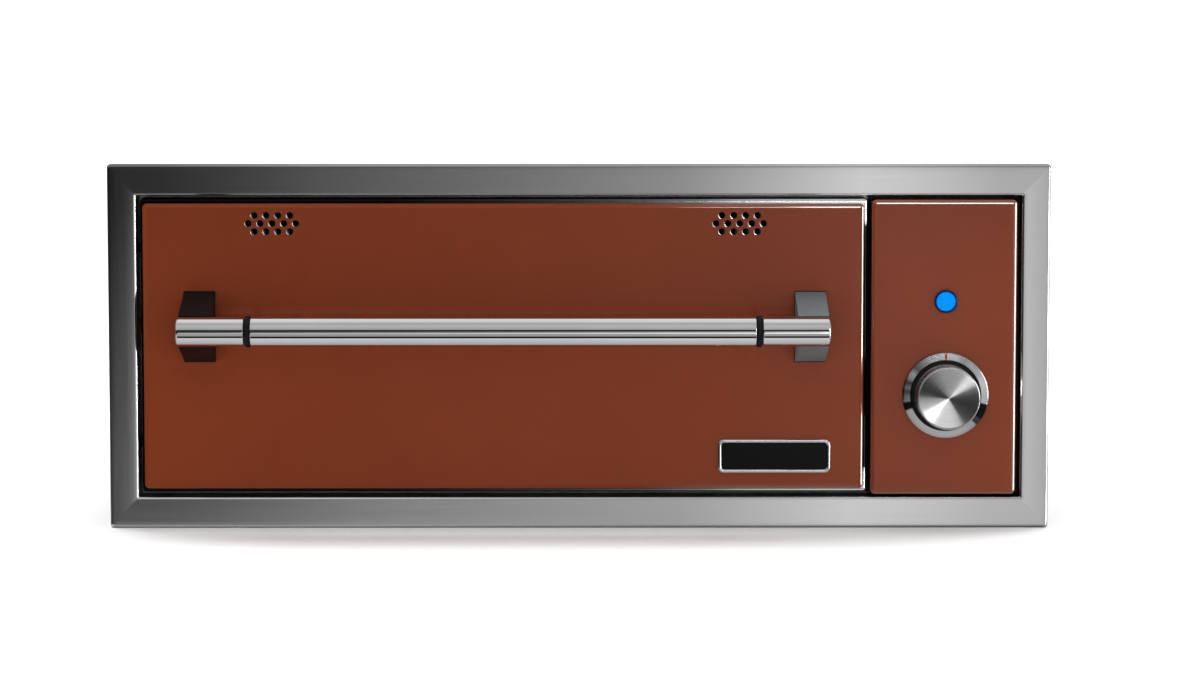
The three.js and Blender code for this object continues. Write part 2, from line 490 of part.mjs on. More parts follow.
// ---- control panel and what it carries ----------------------------------------------------------
add("housing", "control_panel",
  cut(pan(CTRL, SKIN_Y, 12, 1, 2.5), rod("y", 5.6, -20, 0, KNOB_X, KNOB_Z, 16), rod("y", 7.3, -20, 0, LAMP_X, LAMP_Z, 16)), paint());
add("housing", "control_bracket",
  cut(
    join(
      box(242, 350, -12.6, -11.4, -110, 110),
      box(242, 350, -12.6, 14.5, 108.8, 110), box(242, 350, -12.6, 14.5, -110, -108.8),
      box(242, 350, 13.3, 14.5, 108.8, 122), box(242, 350, 13.3, 14.5, -122, -108.8),
    ),
    rod("y", 5.6, -20, 0, KNOB_X, KNOB_Z, 16), rod("y", 7.3, -20, 0, LAMP_X, LAMP_Z, 16),
  ), galvanised());
add("housing", "knob_bezel",
  turned([[BEZEL_IN, -14.3], [BEZEL_IN, -17.6], [BEZEL_IN + 0.5, -18.1], [BEZEL_R - 1.2, -17.0], [BEZEL_R - 0.3, -16.2], [BEZEL_R, -15.2], [BEZEL_R, -14.3], [BEZEL_IN, -14.3]], KNOB_X, KNOB_Z, 28), chrome());
add("housing", "pilot_lamp_bezel", turned([[LAMP_R - 0.9, -14.3], [LAMP_R - 0.9, -15.8], [LAMP_R, -15.5], [LAMP_R, -14.3], [LAMP_R - 0.9, -14.3]], LAMP_X, LAMP_Z, 24), black());
add("housing", "pilot_lamp_lens", turned([[0, -17.2], [3, -17.0], [6, -16.3], [8.1, -15.2], [8.1, -14.3], [0, -14.3]], LAMP_X, LAMP_Z, 24), mat(0x0096ff, 0.1, 0));
add("housing", "pilot_lamp_body",
  join(rod("y", 6.6, -14, 14, LAMP_X, LAMP_Z, 16), box(LAMP_X - 4.5, LAMP_X - 3.7, 13, 22, LAMP_Z - 2.4, LAMP_Z + 2.4), box(LAMP_X + 3.7, LAMP_X + 4.5, 13, 22, LAMP_Z - 2.4, LAMP_Z + 2.4)), black());
let thermostat = join(
  box(KNOB_X - 22, KNOB_X + 22, -11.1, 2, KNOB_Z - 18, KNOB_Z + 18),
  box(KNOB_X - 17, KNOB_X + 17, 1, 16, KNOB_Z - 16, KNOB_Z + 16),
  rod("y", 5.2, -13.6, -10, KNOB_X, KNOB_Z, 16),
);
for (const [dx, dz] of [[-11, -9], [11, -9], [-11, 9], [11, 9]]) thermostat = thermostat.add(box(KNOB_X + dx - 0.4, KNOB_X + dx + 0.4, 15, 23, KNOB_Z + dz - 3, KNOB_Z + dz + 3));
add("housing", "thermostat_body", cut(thermostat, rod("y", 3.1, -20, 4, KNOB_X, KNOB_Z, 16)), ceramic());
add("housing", "sensor_bulb",
  join(
    tube([[KNOB_X + 3, 16.6, KNOB_Z + 6], [KNOB_X + 3, 30, KNOB_Z + 8], [KNOB_X + 2, 60, 10], [285, 120, 70], [262, 180, 94], [250, SENSOR_Y, SENSOR_Z], [232, SENSOR_Y, SENSOR_Z], [220, SENSOR_Y + 1, SENSOR_Z], [213, 212, SENSOR_Z]], 1.1, 5, 26, 0.5),
    rod("y", 3.4, 210, 290, 213, SENSOR_Z, 12),
  ), brass());
add("housing", "sensor_clip",
  join(box(221.8, 222.9, 240, 256, 86, 106), box(210, 222.9, 240, 256, 101, 102), box(210, 222.9, 240, 256, 90, 91)), stainless());
add("housing", "over_temperature_limiter",
  join(rod("x", 11, 238.6, 250, 330, 70, 20), box(238.6, 239.8, 308, 352, 64, 76), box(249, 257, 323, 324, 67, 73), box(249, 257, 336, 337, 67, 73)), black());
let block = box(262, 338, 480, 506, -123.7, -98);
for (let i = 0; i < 3; i++) block = cut(block, box(268 + i * 24, 284 + i * 24, 470, 488, -106, -90), box(268 + i * 24, 284 + i * 24, 498, 510, -106, -90));
add("housing", "terminal_block", block, ceramic());
add("housing", "wiring_loom",
  tube([[300, 479.5, -114], [300, 440, -116], [306, 300, -117], [306, 120, -117], [304, 60, -108], [298, 34, -84], [296, 30, -62]], 3.4, 6, 20, 0.5), mat(0x3b3b3b, 0.7, 0));
add("housing", "lamp_lead",
  tube([[KNOB_X + 11, 24, KNOB_Z + 9], [KNOB_X + 13, 34, KNOB_Z + 20], [KNOB_X + 10, 40, 0], [KNOB_X + 5, 34, 24], [LAMP_X + 4.1, 24.2, LAMP_Z]], 1.3, 5, 14, 0.5), mat(0xb8b8b8, 0.6, 0));

// ---- knob and shaft -----------------------------------------------------------------------------
add("knob", "thermostat_shaft", rod("y", 3.0, KNOB_FRONT + 7, 2, KNOB_X, KNOB_Z, 16), stainless());
add("knob", "knob_body",
  turned([
    [3.4, -18.5], [3.4, KNOB_FRONT + 6.6], [0, KNOB_FRONT + 6.6], [0, KNOB_FRONT + 1.0], [KNOB_R - 1.9, KNOB_FRONT + 1.0], [KNOB_R - 1.9, KNOB_FRONT + 0.1], [KNOB_R - 1.3, KNOB_FRONT],
    [KNOB_R - 0.5, KNOB_FRONT + 0.8], [KNOB_R, KNOB_FRONT + 5], [KNOB_R, -16.4], [KNOB_R - 1.6, -15.8], [KNOB_R - 2.4, -15.8], [KNOB_R - 2.4, KNOB_FRONT + 5], [8, KNOB_FRONT + 5], [8, -18.5], [3.4, -18.5],
  ], KNOB_X, KNOB_Z, 26), stainless());
add("knob", "knob_face",
  turned([[0, KNOB_FRONT + 0.4], [KNOB_R - 2.6, KNOB_FRONT + 0.15], [KNOB_R - 2.2, KNOB_FRONT + 0.4], [KNOB_R - 2.2, KNOB_FRONT + 0.7], [0, KNOB_FRONT + 0.7]], KNOB_X, KNOB_Z, 26), stainless());

export default part;
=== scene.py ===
import math

import bmesh
import bpy
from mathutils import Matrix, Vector, geometry


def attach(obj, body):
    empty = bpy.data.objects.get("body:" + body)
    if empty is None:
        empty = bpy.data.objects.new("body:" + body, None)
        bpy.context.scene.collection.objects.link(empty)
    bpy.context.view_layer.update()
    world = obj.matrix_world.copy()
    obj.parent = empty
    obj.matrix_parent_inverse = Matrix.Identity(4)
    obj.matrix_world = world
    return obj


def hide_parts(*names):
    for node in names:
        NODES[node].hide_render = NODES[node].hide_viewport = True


# The camera's frame is taken to be 1200 x 675 pixels. Sizes below are millimetres, in the frame of the CAD:
# X across the front, -Y out of the cabinet, Z up, the cabinet's face at Y = 0.
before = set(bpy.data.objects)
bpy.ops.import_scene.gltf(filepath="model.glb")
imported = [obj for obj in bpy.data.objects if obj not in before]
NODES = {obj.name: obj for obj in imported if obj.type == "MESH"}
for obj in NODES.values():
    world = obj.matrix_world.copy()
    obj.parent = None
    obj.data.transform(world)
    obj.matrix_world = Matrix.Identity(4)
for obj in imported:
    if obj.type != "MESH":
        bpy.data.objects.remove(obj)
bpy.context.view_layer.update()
MM = 0.001

# ---- driving sizes, as in the CAD ------------------------------------------------------------------
TRIM = (-381.0, 381.0, -147.7, 147.7)
OPENING = (-357.8, 357.8, -122.5, 122.5)
TRIM_Y, TRIM_BACK = -12.0, 15.0
SKIN_Y = -14.0
PANEL = (-352.5, 230.3, -115.5, 116.1)
LINER = (-354.6, 233.3, -118.3, 120.5)
CTRL = (236.4, 354.1, -120.1, 119.2)
VENT_X, VENT_Z, VENT_PITCH, VENT_ROW, VENT_R = (-247.8, 129.6), 100.0, 9.6, 6.55, 2.5
BAR_X, BAR_Y, BAR_Z, BAR_R, BAR_HALF = -59.9, -64.0, 16.6, 12.2, 260.5
FERRULE_IN, FERRULE_R, RING_MID, RING_W, RING_R = 205.9, 11.7, 203.1, 3.8, 12.6
POST_IN, POST_OUT, POST_HALF_Z = 234.4, 259.1, 28.3
BADGE = (158.1, -88.7, 90.9, 27.1)
KNOB_X, KNOB_Z, KNOB_R, KNOB_FRONT, BEZEL_R, BEZEL_IN = 296.7, -39.2, 25.2, -44.5, 34.9, 28.5
LAMP_X, LAMP_Z, LAMP_R = 296.7, 36.8, 9.35
SHELL_X, SHELL_Z, SHELL_BACK = 360.2, 124.9, 556.7
CAV = (-343.2, 223.2, -108.0, 108.0)
SLIDE_Z = 10.0
TAU = 2 * math.pi


# ---- mesh helpers ----------------------------------------------------------------------------------
class Build:
    """Collects points in millimetres and faces, then makes one piece of them. UV runs across the brushing in U."""

    def __init__(self):
        self.v, self.f, self.m, self.uv = [], [], [], []

    def add(self, verts, faces, mat=0, uv=None):
        o = len(self.v)
        self.v.extend(tuple(p) for p in verts)
        self.f.extend(tuple(i + o for i in f) for f in faces)
        self.m.extend([mat] * len(faces))
        self.uv.extend(uv if uv else [None] * len(faces))
        return self

    def loft(self, loops, mat=0, caps=(True, True), ring=False, closed=True):
        n, rows = len(loops[0]), len(loops)
        verts = [p for loop in loops for p in loop]
        faces, uv = [], []
        across = [0.0]
        for r in range(1, rows + 1):
            a, b = loops[r - 1], loops[r % rows]
            across.append(across[-1] + max(math.dist(a[k], b[k]) for k in range(0, n, max(1, n // 8))))
        along = [0.0]
        for k in range(n):
            along.append(along[-1] + math.dist(loops[0][k], loops[0][(k + 1) % n]))
        for r in range(rows if ring else rows - 1):
            a, b = r * n, ((r + 1) % rows) * n
            for k in range(n if closed else n - 1):
                k2 = (k + 1) % n
                faces.append((a + k, a + k2, b + k2, b + k))
                uv.append([(across[r], along[k]), (across[r], along[k + 1]), (across[r + 1], along[k + 1]), (across[r + 1], along[k])])
        if not ring:
            if caps[0]:
                faces.append(tuple(range(n))[::-1])
                uv.append(None)
            if caps[1]:
                faces.append(tuple((rows - 1) * n + k for k in range(n)))
                uv.append(None)
        return self.add(verts, faces, mat, uv)

    def lathe(self, profile, axis, centre, sides=64, mat=0, closed=False):
        """profile: [radius, place along the axis]. centre: the other two coordinates."""
        u, w = centre
        arc = [0.0]
        for p, q in zip(profile, profile[1:]):
            arc.append(arc[-1] + math.dist(p, q))
        arc.append(arc[-1] + math.dist(profile[-1], profile[0]))
        rows = len(profile)

        def at(r, h, a):
            c, s = r * math.cos(a), r * math.sin(a)
            return {"x": (h, u + c, w + s), "y": (u + c, h, w + s), "z": (u + c, w + s, h)}[axis]

        verts = [at(r, h, TAU * k / sides) for r, h in profile for k in range(sides)]
        faces, uv = [], []
        for i in range(rows if closed else rows - 1):
            a, b = i * sides, ((i + 1) % rows) * sides
            for k in range(sides):
                k2 = (k + 1) % sides
                faces.append((a + k, a + k2, b + k2, b + k))
                t0, t1 = 30 * k / sides, 30 * (k + 1) / sides
                uv.append([(arc[i], t0), (arc[i], t1), (arc[i + 1], t1), (arc[i + 1], t0)])
        return self.add(verts, faces, mat, uv)

    def rbox(self, x0, x1, y0, y1, z0, z1, b=0.5, seg=2, mat=0):
        b = min(b, (x1 - x0) / 2.01, (y1 - y0) / 2.01, (z1 - z0) / 2.01)
        steps = [(b * (1 - math.sin(t)), b * (1 - math.cos(t))) for t in [math.pi / 2 * i / seg for i in range(seg + 1)]]
        loops = []
        for inset, dz in steps:
            loops.append([(x, y, z0 + dz) for x, y in rrect(x0 + inset, x1 - inset, y0 + inset, y1 - inset, max(b - inset, 0.02), seg)])
        for inset, dz in steps[::-1]:
            loops.append([(x, y, z1 - dz) for x, y in rrect(x0 + inset, x1 - inset, y0 + inset, y1 - inset, max(b - inset, 0.02), seg)])
        loops = [loops[i] for i in range(len(loops))]
        loops[: seg + 1] = loops[: seg + 1][::1]
        return self.loft(loops, mat)

    def tube(self, points, r, sides=12, mat=0, ring=False, round_ends=True):
        pts = [Vector(p) for p in points]
        n = len(pts)
        dirs = []
        for i in range(n):
            if ring:
                d = pts[(i + 1) % n] - pts[i - 1]
            else:
                d = pts[min(n - 1, i + 1)] - pts[max(0, i - 1)]
            dirs.append(d.normalized())
        side = dirs[0].cross(Vector((0.13, 0.29, 0.95)))
        if side.length < 0.1:
            side = dirs[0].cross(Vector((1, 0, 0)))
        side.normalize()
        loops = []
        for i in range(n):
            side = (side - dirs[i] * side.dot(dirs[i])).normalized()
            up = dirs[i].cross(side)
            loops.append([tuple(pts[i] + side * (r * math.cos(TAU * k / sides)) + up * (r * math.sin(TAU * k / sides))) for k in range(sides)])
        if ring:
            return self.loft(loops, mat, ring=True)
        if round_ends:
            def shrink(loop, c, d, f, off):
                return [tuple(Vector(c) + (Vector(p) - Vector(c)) * f + Vector(d) * off) for p in loop]
            head = [shrink(loops[0], pts[0], -dirs[0], f, o) for f, o in ((0.35, 0.45 * r), (0.8, 0.25 * r))]
            tail = [shrink(loops[-1], pts[-1], dirs[-1], f, o) for f, o in ((0.8, 0.25 * r), (0.35, 0.45 * r))]
            loops = head + loops + tail
        return self.loft(loops, mat)

    def fill(self, loops, place, flip=False, mat=0):
        """A flat face with holes. loops: 2D outlines, the outer one first; place: 2D point to 3D point."""
        flat = [p for loop in loops for p in loop]
        tris = geometry.tessellate_polygon([[Vector((a, b, 0)) for a, b in loop] for loop in loops])
        verts = [place(a, b) for a, b in flat]
        return self.add(verts, [tuple(t)[::-1] if flip else tuple(t) for t in tris], mat)

    def piece(self, name, mats, body, slot, replaces=(), angle=38, weighted=True):
        mesh = bpy.data.meshes.new(name)
        mesh.from_pydata([(x * MM, y * MM, z * MM) for x, y, z in self.v], [], self.f)
        for m in mats:
            mesh.materials.append(m)
        mesh.polygons.foreach_set("material_index", self.m)
        layer = mesh.uv_layers.new(name="grain")
        for poly, face_uv in zip(mesh.polygons, self.uv):
            for j, li in enumerate(poly.loop_indices):
                if face_uv:
                    u, v = face_uv[j]
                else:
                    co = mesh.vertices[mesh.loops[li].vertex_index].co
                    nrm = poly.normal
                    if abs(nrm.z) > abs(nrm.x) and abs(nrm.z) > abs(nrm.y):
                        u, v = co.y * 1000, co.x * 1000
                    elif abs(nrm.x) > abs(nrm.y):
                        u, v = co.z * 1000, co.y * 1000
                    else:
                        u, v = co.z * 1000, co.x * 1000
                layer.data[li].uv = (u * 0.01, v * 0.01)
        bm = bmesh.new()
        bm.from_mesh(mesh)
        bmesh.ops.remove_doubles(bm, verts=bm.verts, dist=2e-6)
        bmesh.ops.dissolve_degenerate(bm, dist=1e-6, edges=bm.edges)
        bmesh.ops.recalc_face_normals(bm, faces=bm.faces)
        bm.to_mesh(mesh)
        bm.free()
        mesh.shade_smooth()
        mesh.set_sharp_from_angle(angle=math.radians(angle))
        ob = bpy.data.objects.new(name, mesh)
        bpy.context.scene.collection.objects.link(ob)
        if weighted:
            mod = ob.modifiers.new("weighted", "WEIGHTED_NORMAL")
            mod.keep_sharp = True
            mod.weight = 90
        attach(ob, body)
        if replaces:
            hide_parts(*replaces)
        return ob


def rrect(x0, x1, y0, y1, r, seg=4):
    """Rounded rectangle, anticlockwise, 4 * (seg + 1) points."""
    r = min(r, (x1 - x0) / 2.001, (y1 - y0) / 2.001)
    out = []
    for cx, cy, a0 in ((x1 - r, y0 + r, -90), (x1 - r, y1 - r, 0), (x0 + r, y1 - r, 90), (x0 + r, y0 + r, 180)):
        for i in range(seg + 1):
            a = math.radians(a0 + 90 * i / seg)
            out.append((cx + r * math.cos(a), cy + r * math.sin(a)))
    return out


def grow(b, d):
    return (b[0] - d, b[1] + d, b[2] - d, b[3] + d)


def circle(cx, cy, r, n=24):
    return [(cx + r * math.cos(TAU * k / n), cy + r * math.sin(TAU * k / n)) for k in range(n)]


def vent_centres():
    out = []
    for x in VENT_X:
        out += [(x + i * VENT_PITCH, VENT_Z) for i in (-2, -1, 0, 1, 2)]
        out += [(x + i * VENT_PITCH, VENT_Z + k * VENT_ROW) for i in (-1.5, -0.5, 0.5, 1.5) for k in (-1, 1)]
    return out


# ---- materials -------------------------------------------------------------------------------------
def new_material(name):
    m = bpy.data.materials.new(name)
    m.use_nodes = True
    tree = m.node_tree
    tree.nodes.clear()
    out = tree.nodes.new("ShaderNodeOutputMaterial")
    p = tree.nodes.new("ShaderNodeBsdfPrincipled")
    tree.links.new(p.outputs[0], out.inputs[0])
    return m, tree, p


def nd(tree, kind, settings=(), **inputs):
    n = tree.nodes.new("ShaderNode" + kind)
    for k, v in dict(settings).items():
        setattr(n, k, v)
    for k, v in inputs.items():
        n.inputs[k.replace("_", " ")].default_value = v
    return n


def put(tree, a, b):
    tree.links.new(a, b)


def coords(tree, scale):
    tc = nd(tree, "TexCoord")
    mp = nd(tree, "Mapping")
    mp.inputs["Scale"].default_value = scale
    put(tree, tc.outputs["Object"], mp.inputs["Vector"])
    return mp.outputs[0]


def noise(tree, vector, scale=1.0, detail=3.0, rough=0.55):
    n = nd(tree, "TexNoise", Scale=scale, Detail=detail, Roughness=rough)
    put(tree, vector, n.inputs["Vector"])
    return n.outputs["Fac"]


def ranged(tree, value, lo, hi, a=0.3, b=0.7):
    r = nd(tree, "MapRange")
    r.inputs["From Min"].default_value, r.inputs["From Max"].default_value = a, b
    r.inputs["To Min"].default_value, r.inputs["To Max"].default_value = lo, hi
    put(tree, value, r.inputs["Value"])
    return r.outputs[0]


def mixed(tree, fac, a, b):
    m = nd(tree, "Mix", {"data_type": "RGBA"})
    m.inputs["A"].default_value, m.inputs["B"].default_value = (*a, 1), (*b, 1)
    # the colour sockets of a Mix node share their names with the others
    for s in m.inputs:
        if s.type == "RGBA":
            s.default_value = (*a, 1) if s.name == "A" else (*b, 1)
    put(tree, fac, m.inputs[0])
    return [o for o in m.outputs if o.type == "RGBA"][0]


def bump(tree, height, strength, distance):
    b = nd(tree, "Bump")
    b.inputs["Strength"].default_value = strength
    b.inputs["Distance"].default_value = distance
    put(tree, height, b.inputs["Height"])
    return b.outputs[0]


def along(tree, stops, axis=0, pivot=None):
    """A value that changes along an axis (place in metres, value), or around a pivot (degrees, value)."""
    sep = nd(tree, "SeparateXYZ")
    put(tree, nd(tree, "TexCoord").outputs["Object"], sep.inputs[0])
    place = sep.outputs[axis]
    if pivot is not None:
        gap = []
        for k, q in ((0, pivot[0]), (2, pivot[1])):
            n = nd(tree, "Math", {"operation": "SUBTRACT"})
            put(tree, sep.outputs[k], n.inputs[0])
            n.inputs[1].default_value = q
            gap.append(n.outputs[0])
        turn = nd(tree, "Math", {"operation": "ARCTAN2"})
        put(tree, gap[1], turn.inputs[0])
        put(tree, gap[0], turn.inputs[1])
        deg = nd(tree, "Math", {"operation": "MULTIPLY"})
        put(tree, turn.outputs[0], deg.inputs[0])
        deg.inputs[1].default_value = 360 / TAU
        place = deg.outputs[0]
    lo, hi = stops[0][0], stops[-1][0]
    r = tree.nodes.new("ShaderNodeValToRGB")
    el = r.color_ramp.elements
    while len(el) > 1:
        el.remove(el[-1])
    for i, (q, v) in enumerate(stops):
        e = el[0] if i == 0 else el.new((q - lo) / (hi - lo))
        e.position = (q - lo) / (hi - lo)
        e.color = (v, v, v, 1)
    put(tree, ranged(tree, place, 0.0, 1.0, lo, hi), r.inputs[0])
    return r.outputs[0]


def toned(m, stops, axis=0, pivot=None):
    """Multiplies a material's colour by a value that changes along an axis or around a pivot; here it paints light and
    shade into colours.
    """
    t = m.node_tree
    p = next(n for n in t.nodes if n.type == "BSDF_PRINCIPLED")
    link = next(l for l in t.links if l.to_socket == p.inputs["Base Color"])
    mul = nd(t, "Mix", {"data_type": "RGBA", "blend_type": "MULTIPLY"})
    mul.inputs[0].default_value = 1.0
    a, b = [i for i in mul.inputs if i.type == "RGBA"]
    put(t, link.from_socket, a)
    put(t, along(t, stops, axis, pivot), b)
    put(t, [o for o in mul.outputs if o.type == "RGBA"][0], p.inputs["Base Color"])
    return m


def varied(m, name, stops):
    """Drives one shader value along the front."""
    t = m.node_tree
    p = next(n for n in t.nodes if n.type == "BSDF_PRINCIPLED")
    put(t, along(t, stops), p.inputs[name])
    return m


def gloss(m, **values):
    """Sets plain values on a material's shader."""
    p = next(n for n in m.node_tree.nodes if n.type == "BSDF_PRINCIPLED")
    for k, v in values.items():
        p.inputs[k.replace("_", " ")].default_value = v
    return m


def dished(m, centre, slope):
    """Tilts a face inwards all round an axis along Y, as a shallow dish does, on top of its fine grain."""
    t = m.node_tree
    p = next(n for n in t.nodes if n.type == "BSDF_PRINCIPLED")
    grain = next(l.from_socket for l in t.links if l.to_socket == p.inputs["Normal"])
    sep = nd(t, "SeparateXYZ")
    put(t, nd(t, "TexCoord").outputs["Object"], sep.inputs[0])
    flat = nd(t, "CombineXYZ")
    put(t, sep.outputs[0], flat.inputs[0])
    put(t, sep.outputs[2], flat.inputs[2])
    far = nd(t, "VectorMath", {"operation": "DISTANCE"})
    far.inputs[1].default_value = centre
    put(t, flat.outputs[0], far.inputs[0])
    b = nd(t, "Bump")
    b.inputs["Strength"].default_value = 1.0
    b.inputs["Distance"].default_value = slope
    put(t, far.outputs["Value"], b.inputs["Height"])
    put(t, grain, b.inputs["Normal"])
    put(t, b.outputs[0], p.inputs["Normal"])
    return m


def added(tree, a, b, wb=1.0):
    m = nd(tree, "Math", {"operation": "MULTIPLY_ADD"})
    put(tree, b, m.inputs[0])
    m.inputs[1].default_value = wb
    put(tree, a, m.inputs[2])
    return m.outputs[0]


def brushed(name, grain, base, rough=0.3, aniso=0.6, vary=0.06, tangent=True, scratch=0.03):
    """Steel brushed along grain: x, y, z or r (round the piece, the streaks then come from the UV)."""
    m, t, p = new_material(name)
    fine, wide = 2400.0, 260.0
    along = {"x": (14, fine, fine), "y": (fine, 14, fine), "z": (fine, fine, 14)}
    along_w = {"x": (5, wide, wide), "y": (wide, 5, wide), "z": (wide, wide, 5)}
    if grain == "r":
        uv = nd(t, "UVMap", {"uv_map": "grain"})
        mp = nd(t, "Mapping")
        mp.inputs["Scale"].default_value = (160, 3, 1)
        put(t, uv.outputs[0], mp.inputs["Vector"])
        mp2 = nd(t, "Mapping")
        mp2.inputs["Scale"].default_value = (24, 1, 1)
        put(t, uv.outputs[0], mp2.inputs["Vector"])
        a, b = mp.outputs[0], mp2.outputs[0]
    else:
        a, b = coords(t, along[grain]), coords(t, along_w[grain])
    n1, n2 = noise(t, a, 1, 2), noise(t, b, 1, 3)
    both = added(t, n2, n1, 0.6)
    lo = tuple(c * (1 - vary) for c in base)
    hi = tuple(min(1.0, c * (1 + vary)) for c in base)
    put(t, mixed(t, ranged(t, both, 0, 1, 0.5, 1.1), lo, hi), p.inputs["Base Color"])
    put(t, ranged(t, both, rough * 0.85, rough * 1.15, 0.5, 1.1), p.inputs["Roughness"])
    put(t, bump(t, n1, scratch, 0.0001), p.inputs["Normal"])
    p.inputs["Metallic"].default_value = 1.0
    p.inputs["Anisotropic"].default_value = aniso
    if tangent:
        tg = nd(t, "Tangent", {"direction_type": "UV_MAP", "uv_map": "grain"})
        put(t, tg.outputs[0], p.inputs["Tangent"])
    return m


def polished(name, base, rough=0.07, vary=0.03, smear=(600, 600, 600)):
    m, t, p = new_material(name)
    n1 = noise(t, coords(t, smear), 1, 3)
    n2 = noise(t, coords(t, (18, 18, 18)), 1, 4)
    lo = tuple(c * (1 - vary) for c in base)
    hi = tuple(min(1, c * (1 + vary)) for c in base)
    put(t, mixed(t, ranged(t, n2, 0, 1), lo, hi), p.inputs["Base Color"])
    put(t, ranged(t, added(t, n2, n1, 0.5), rough * 0.7, rough * 1.5, 0.4, 1.1), p.inputs["Roughness"])
    put(t, bump(t, n1, 0.02, 0.0001), p.inputs["Normal"])
    p.inputs["Metallic"].default_value = 1.0
    return m


def enamel(name, base, rough=0.3, coat=1.0, coat_rough=0.04, peel=0.05, vary=0.04):
    """Gloss paint with a clear coat, a trace of orange peel and slow colour drift."""
    m, t, p = new_material(name)
    slow = noise(t, coords(t, (9, 9, 9)), 1, 3)
    fine = noise(t, coords(t, (1500, 1500, 1500)), 1, 2)
    lo = tuple(c * (1 - vary) for c in base)
    hi = tuple(c * (1 + vary) for c in base)
    put(t, mixed(t, ranged(t, added(t, slow, fine, 0.15), 0, 1, 0.35, 0.8), lo, hi), p.inputs["Base Color"])
    put(t, ranged(t, slow, rough * 0.9, rough * 1.1), p.inputs["Roughness"])
    wave = noise(t, coords(t, (240, 240, 240)), 1, 2)
    nrm = bump(t, wave, peel, 0.0002)
    put(t, nrm, p.inputs["Coat Normal"])
    put(t, bump(t, fine, 0.03, 0.0001), p.inputs["Normal"])
    p.inputs["Coat Weight"].default_value = coat
    p.inputs["Coat Roughness"].default_value = coat_rough
    p.inputs["Specular IOR Level"].default_value = 0.06
    return m


def galvanised(name, base=(0.5, 0.515, 0.53), rough=0.42):
    """Zinc spangle: flat crystals of differing greys, with faint rolling lines."""
    m, t, p = new_material(name)
    vec = coords(t, (70, 70, 70))
    warp = nd(t, "TexNoise", Scale=1.6, Detail=2.0)
    put(t, vec, warp.inputs["Vector"])
    shift = nd(t, "VectorMath", {"operation": "MULTIPLY_ADD"})
    shift.inputs[1].default_value = (0.7, 0.7, 0.7)
    put(t, warp.outputs["Color"], shift.inputs[0])
    put(t, vec, shift.inputs[2])
    cells = nd(t, "TexVoronoi", Scale=1.0)
    put(t, shift.outputs[0], cells.inputs["Vector"])
    sep = nd(t, "SeparateColor")
    put(t, cells.outputs["Color"], sep.inputs[0])
    grain = noise(t, coords(t, (900, 900, 900)), 1, 2)
    tone = added(t, sep.outputs[0], grain, 0.35)
    lo = tuple(c * 0.86 for c in base)
    hi = tuple(min(1, c * 1.1) for c in base)
    put(t, mixed(t, ranged(t, tone, 0, 1, 0.1, 1.2), lo, hi), p.inputs["Base Color"])
    put(t, ranged(t, sep.outputs[1], rough * 0.82, rough * 1.2, 0.0, 1.0), p.inputs["Roughness"])
    put(t, bump(t, grain, 0.06, 0.0001), p.inputs["Normal"])
    p.inputs["Metallic"].default_value = 1.0
    return m


def plain(name, base, rough=0.5, metal=0.0, vary=0.12, scale=60.0, bumps=0.15, fine=1400.0, depth=0.0002):
    """Moulded, cast or woven surfaces: slow and fine variation of tone, roughness and height."""
    m, t, p = new_material(name)
    slow = noise(t, coords(t, (scale,) * 3), 1, 4)
    small = noise(t, coords(t, (fine,) * 3), 1, 3)
    lo = tuple(c * (1 - vary) for c in base)
    hi = tuple(min(1, c * (1 + vary)) for c in base)
    put(t, mixed(t, ranged(t, added(t, slow, small, 0.4), 0, 1, 0.4, 1.0), lo, hi), p.inputs["Base Color"])
    put(t, ranged(t, slow, rough * 0.88, min(1, rough * 1.12)), p.inputs["Roughness"])
    put(t, bump(t, small, bumps, depth), p.inputs["Normal"])
    p.inputs["Metallic"].default_value = metal
    return m


def lens(name, base, glow, strength):
    """A lit coloured lens: clear gloss over a glowing body that is brighter in the middle."""
    m, t, p = new_material(name)
    tc = nd(t, "TexCoord")
    off = nd(t, "VectorMath", {"operation": "DISTANCE"})
    off.inputs[1].default_value = (LAMP_X * MM, -0.0172, LAMP_Z * MM)
    put(t, tc.outputs["Object"], off.inputs[0])
    near = ranged(t, off.outputs["Value"], 1.0, 0.88, 0.0, 0.0085)
    spots = noise(t, coords(t, (500, 500, 500)), 1, 2)
    amount = nd(t, "Math", {"operation": "MULTIPLY"})
    put(t, near, amount.inputs[0])
    put(t, ranged(t, spots, strength * 0.96, strength * 1.04), amount.inputs[1])
    put(t, mixed(t, ranged(t, spots, 0, 1), tuple(c * 0.9 for c in base), base), p.inputs["Base Color"])
    p.inputs["Emission Color"].default_value = (*glow, 1)
    put(t, amount.outputs[0], p.inputs["Emission Strength"])
    p.inputs["Roughness"].default_value = 0.2
    p.inputs["Specular IOR Level"].default_value = 0.03
    return m


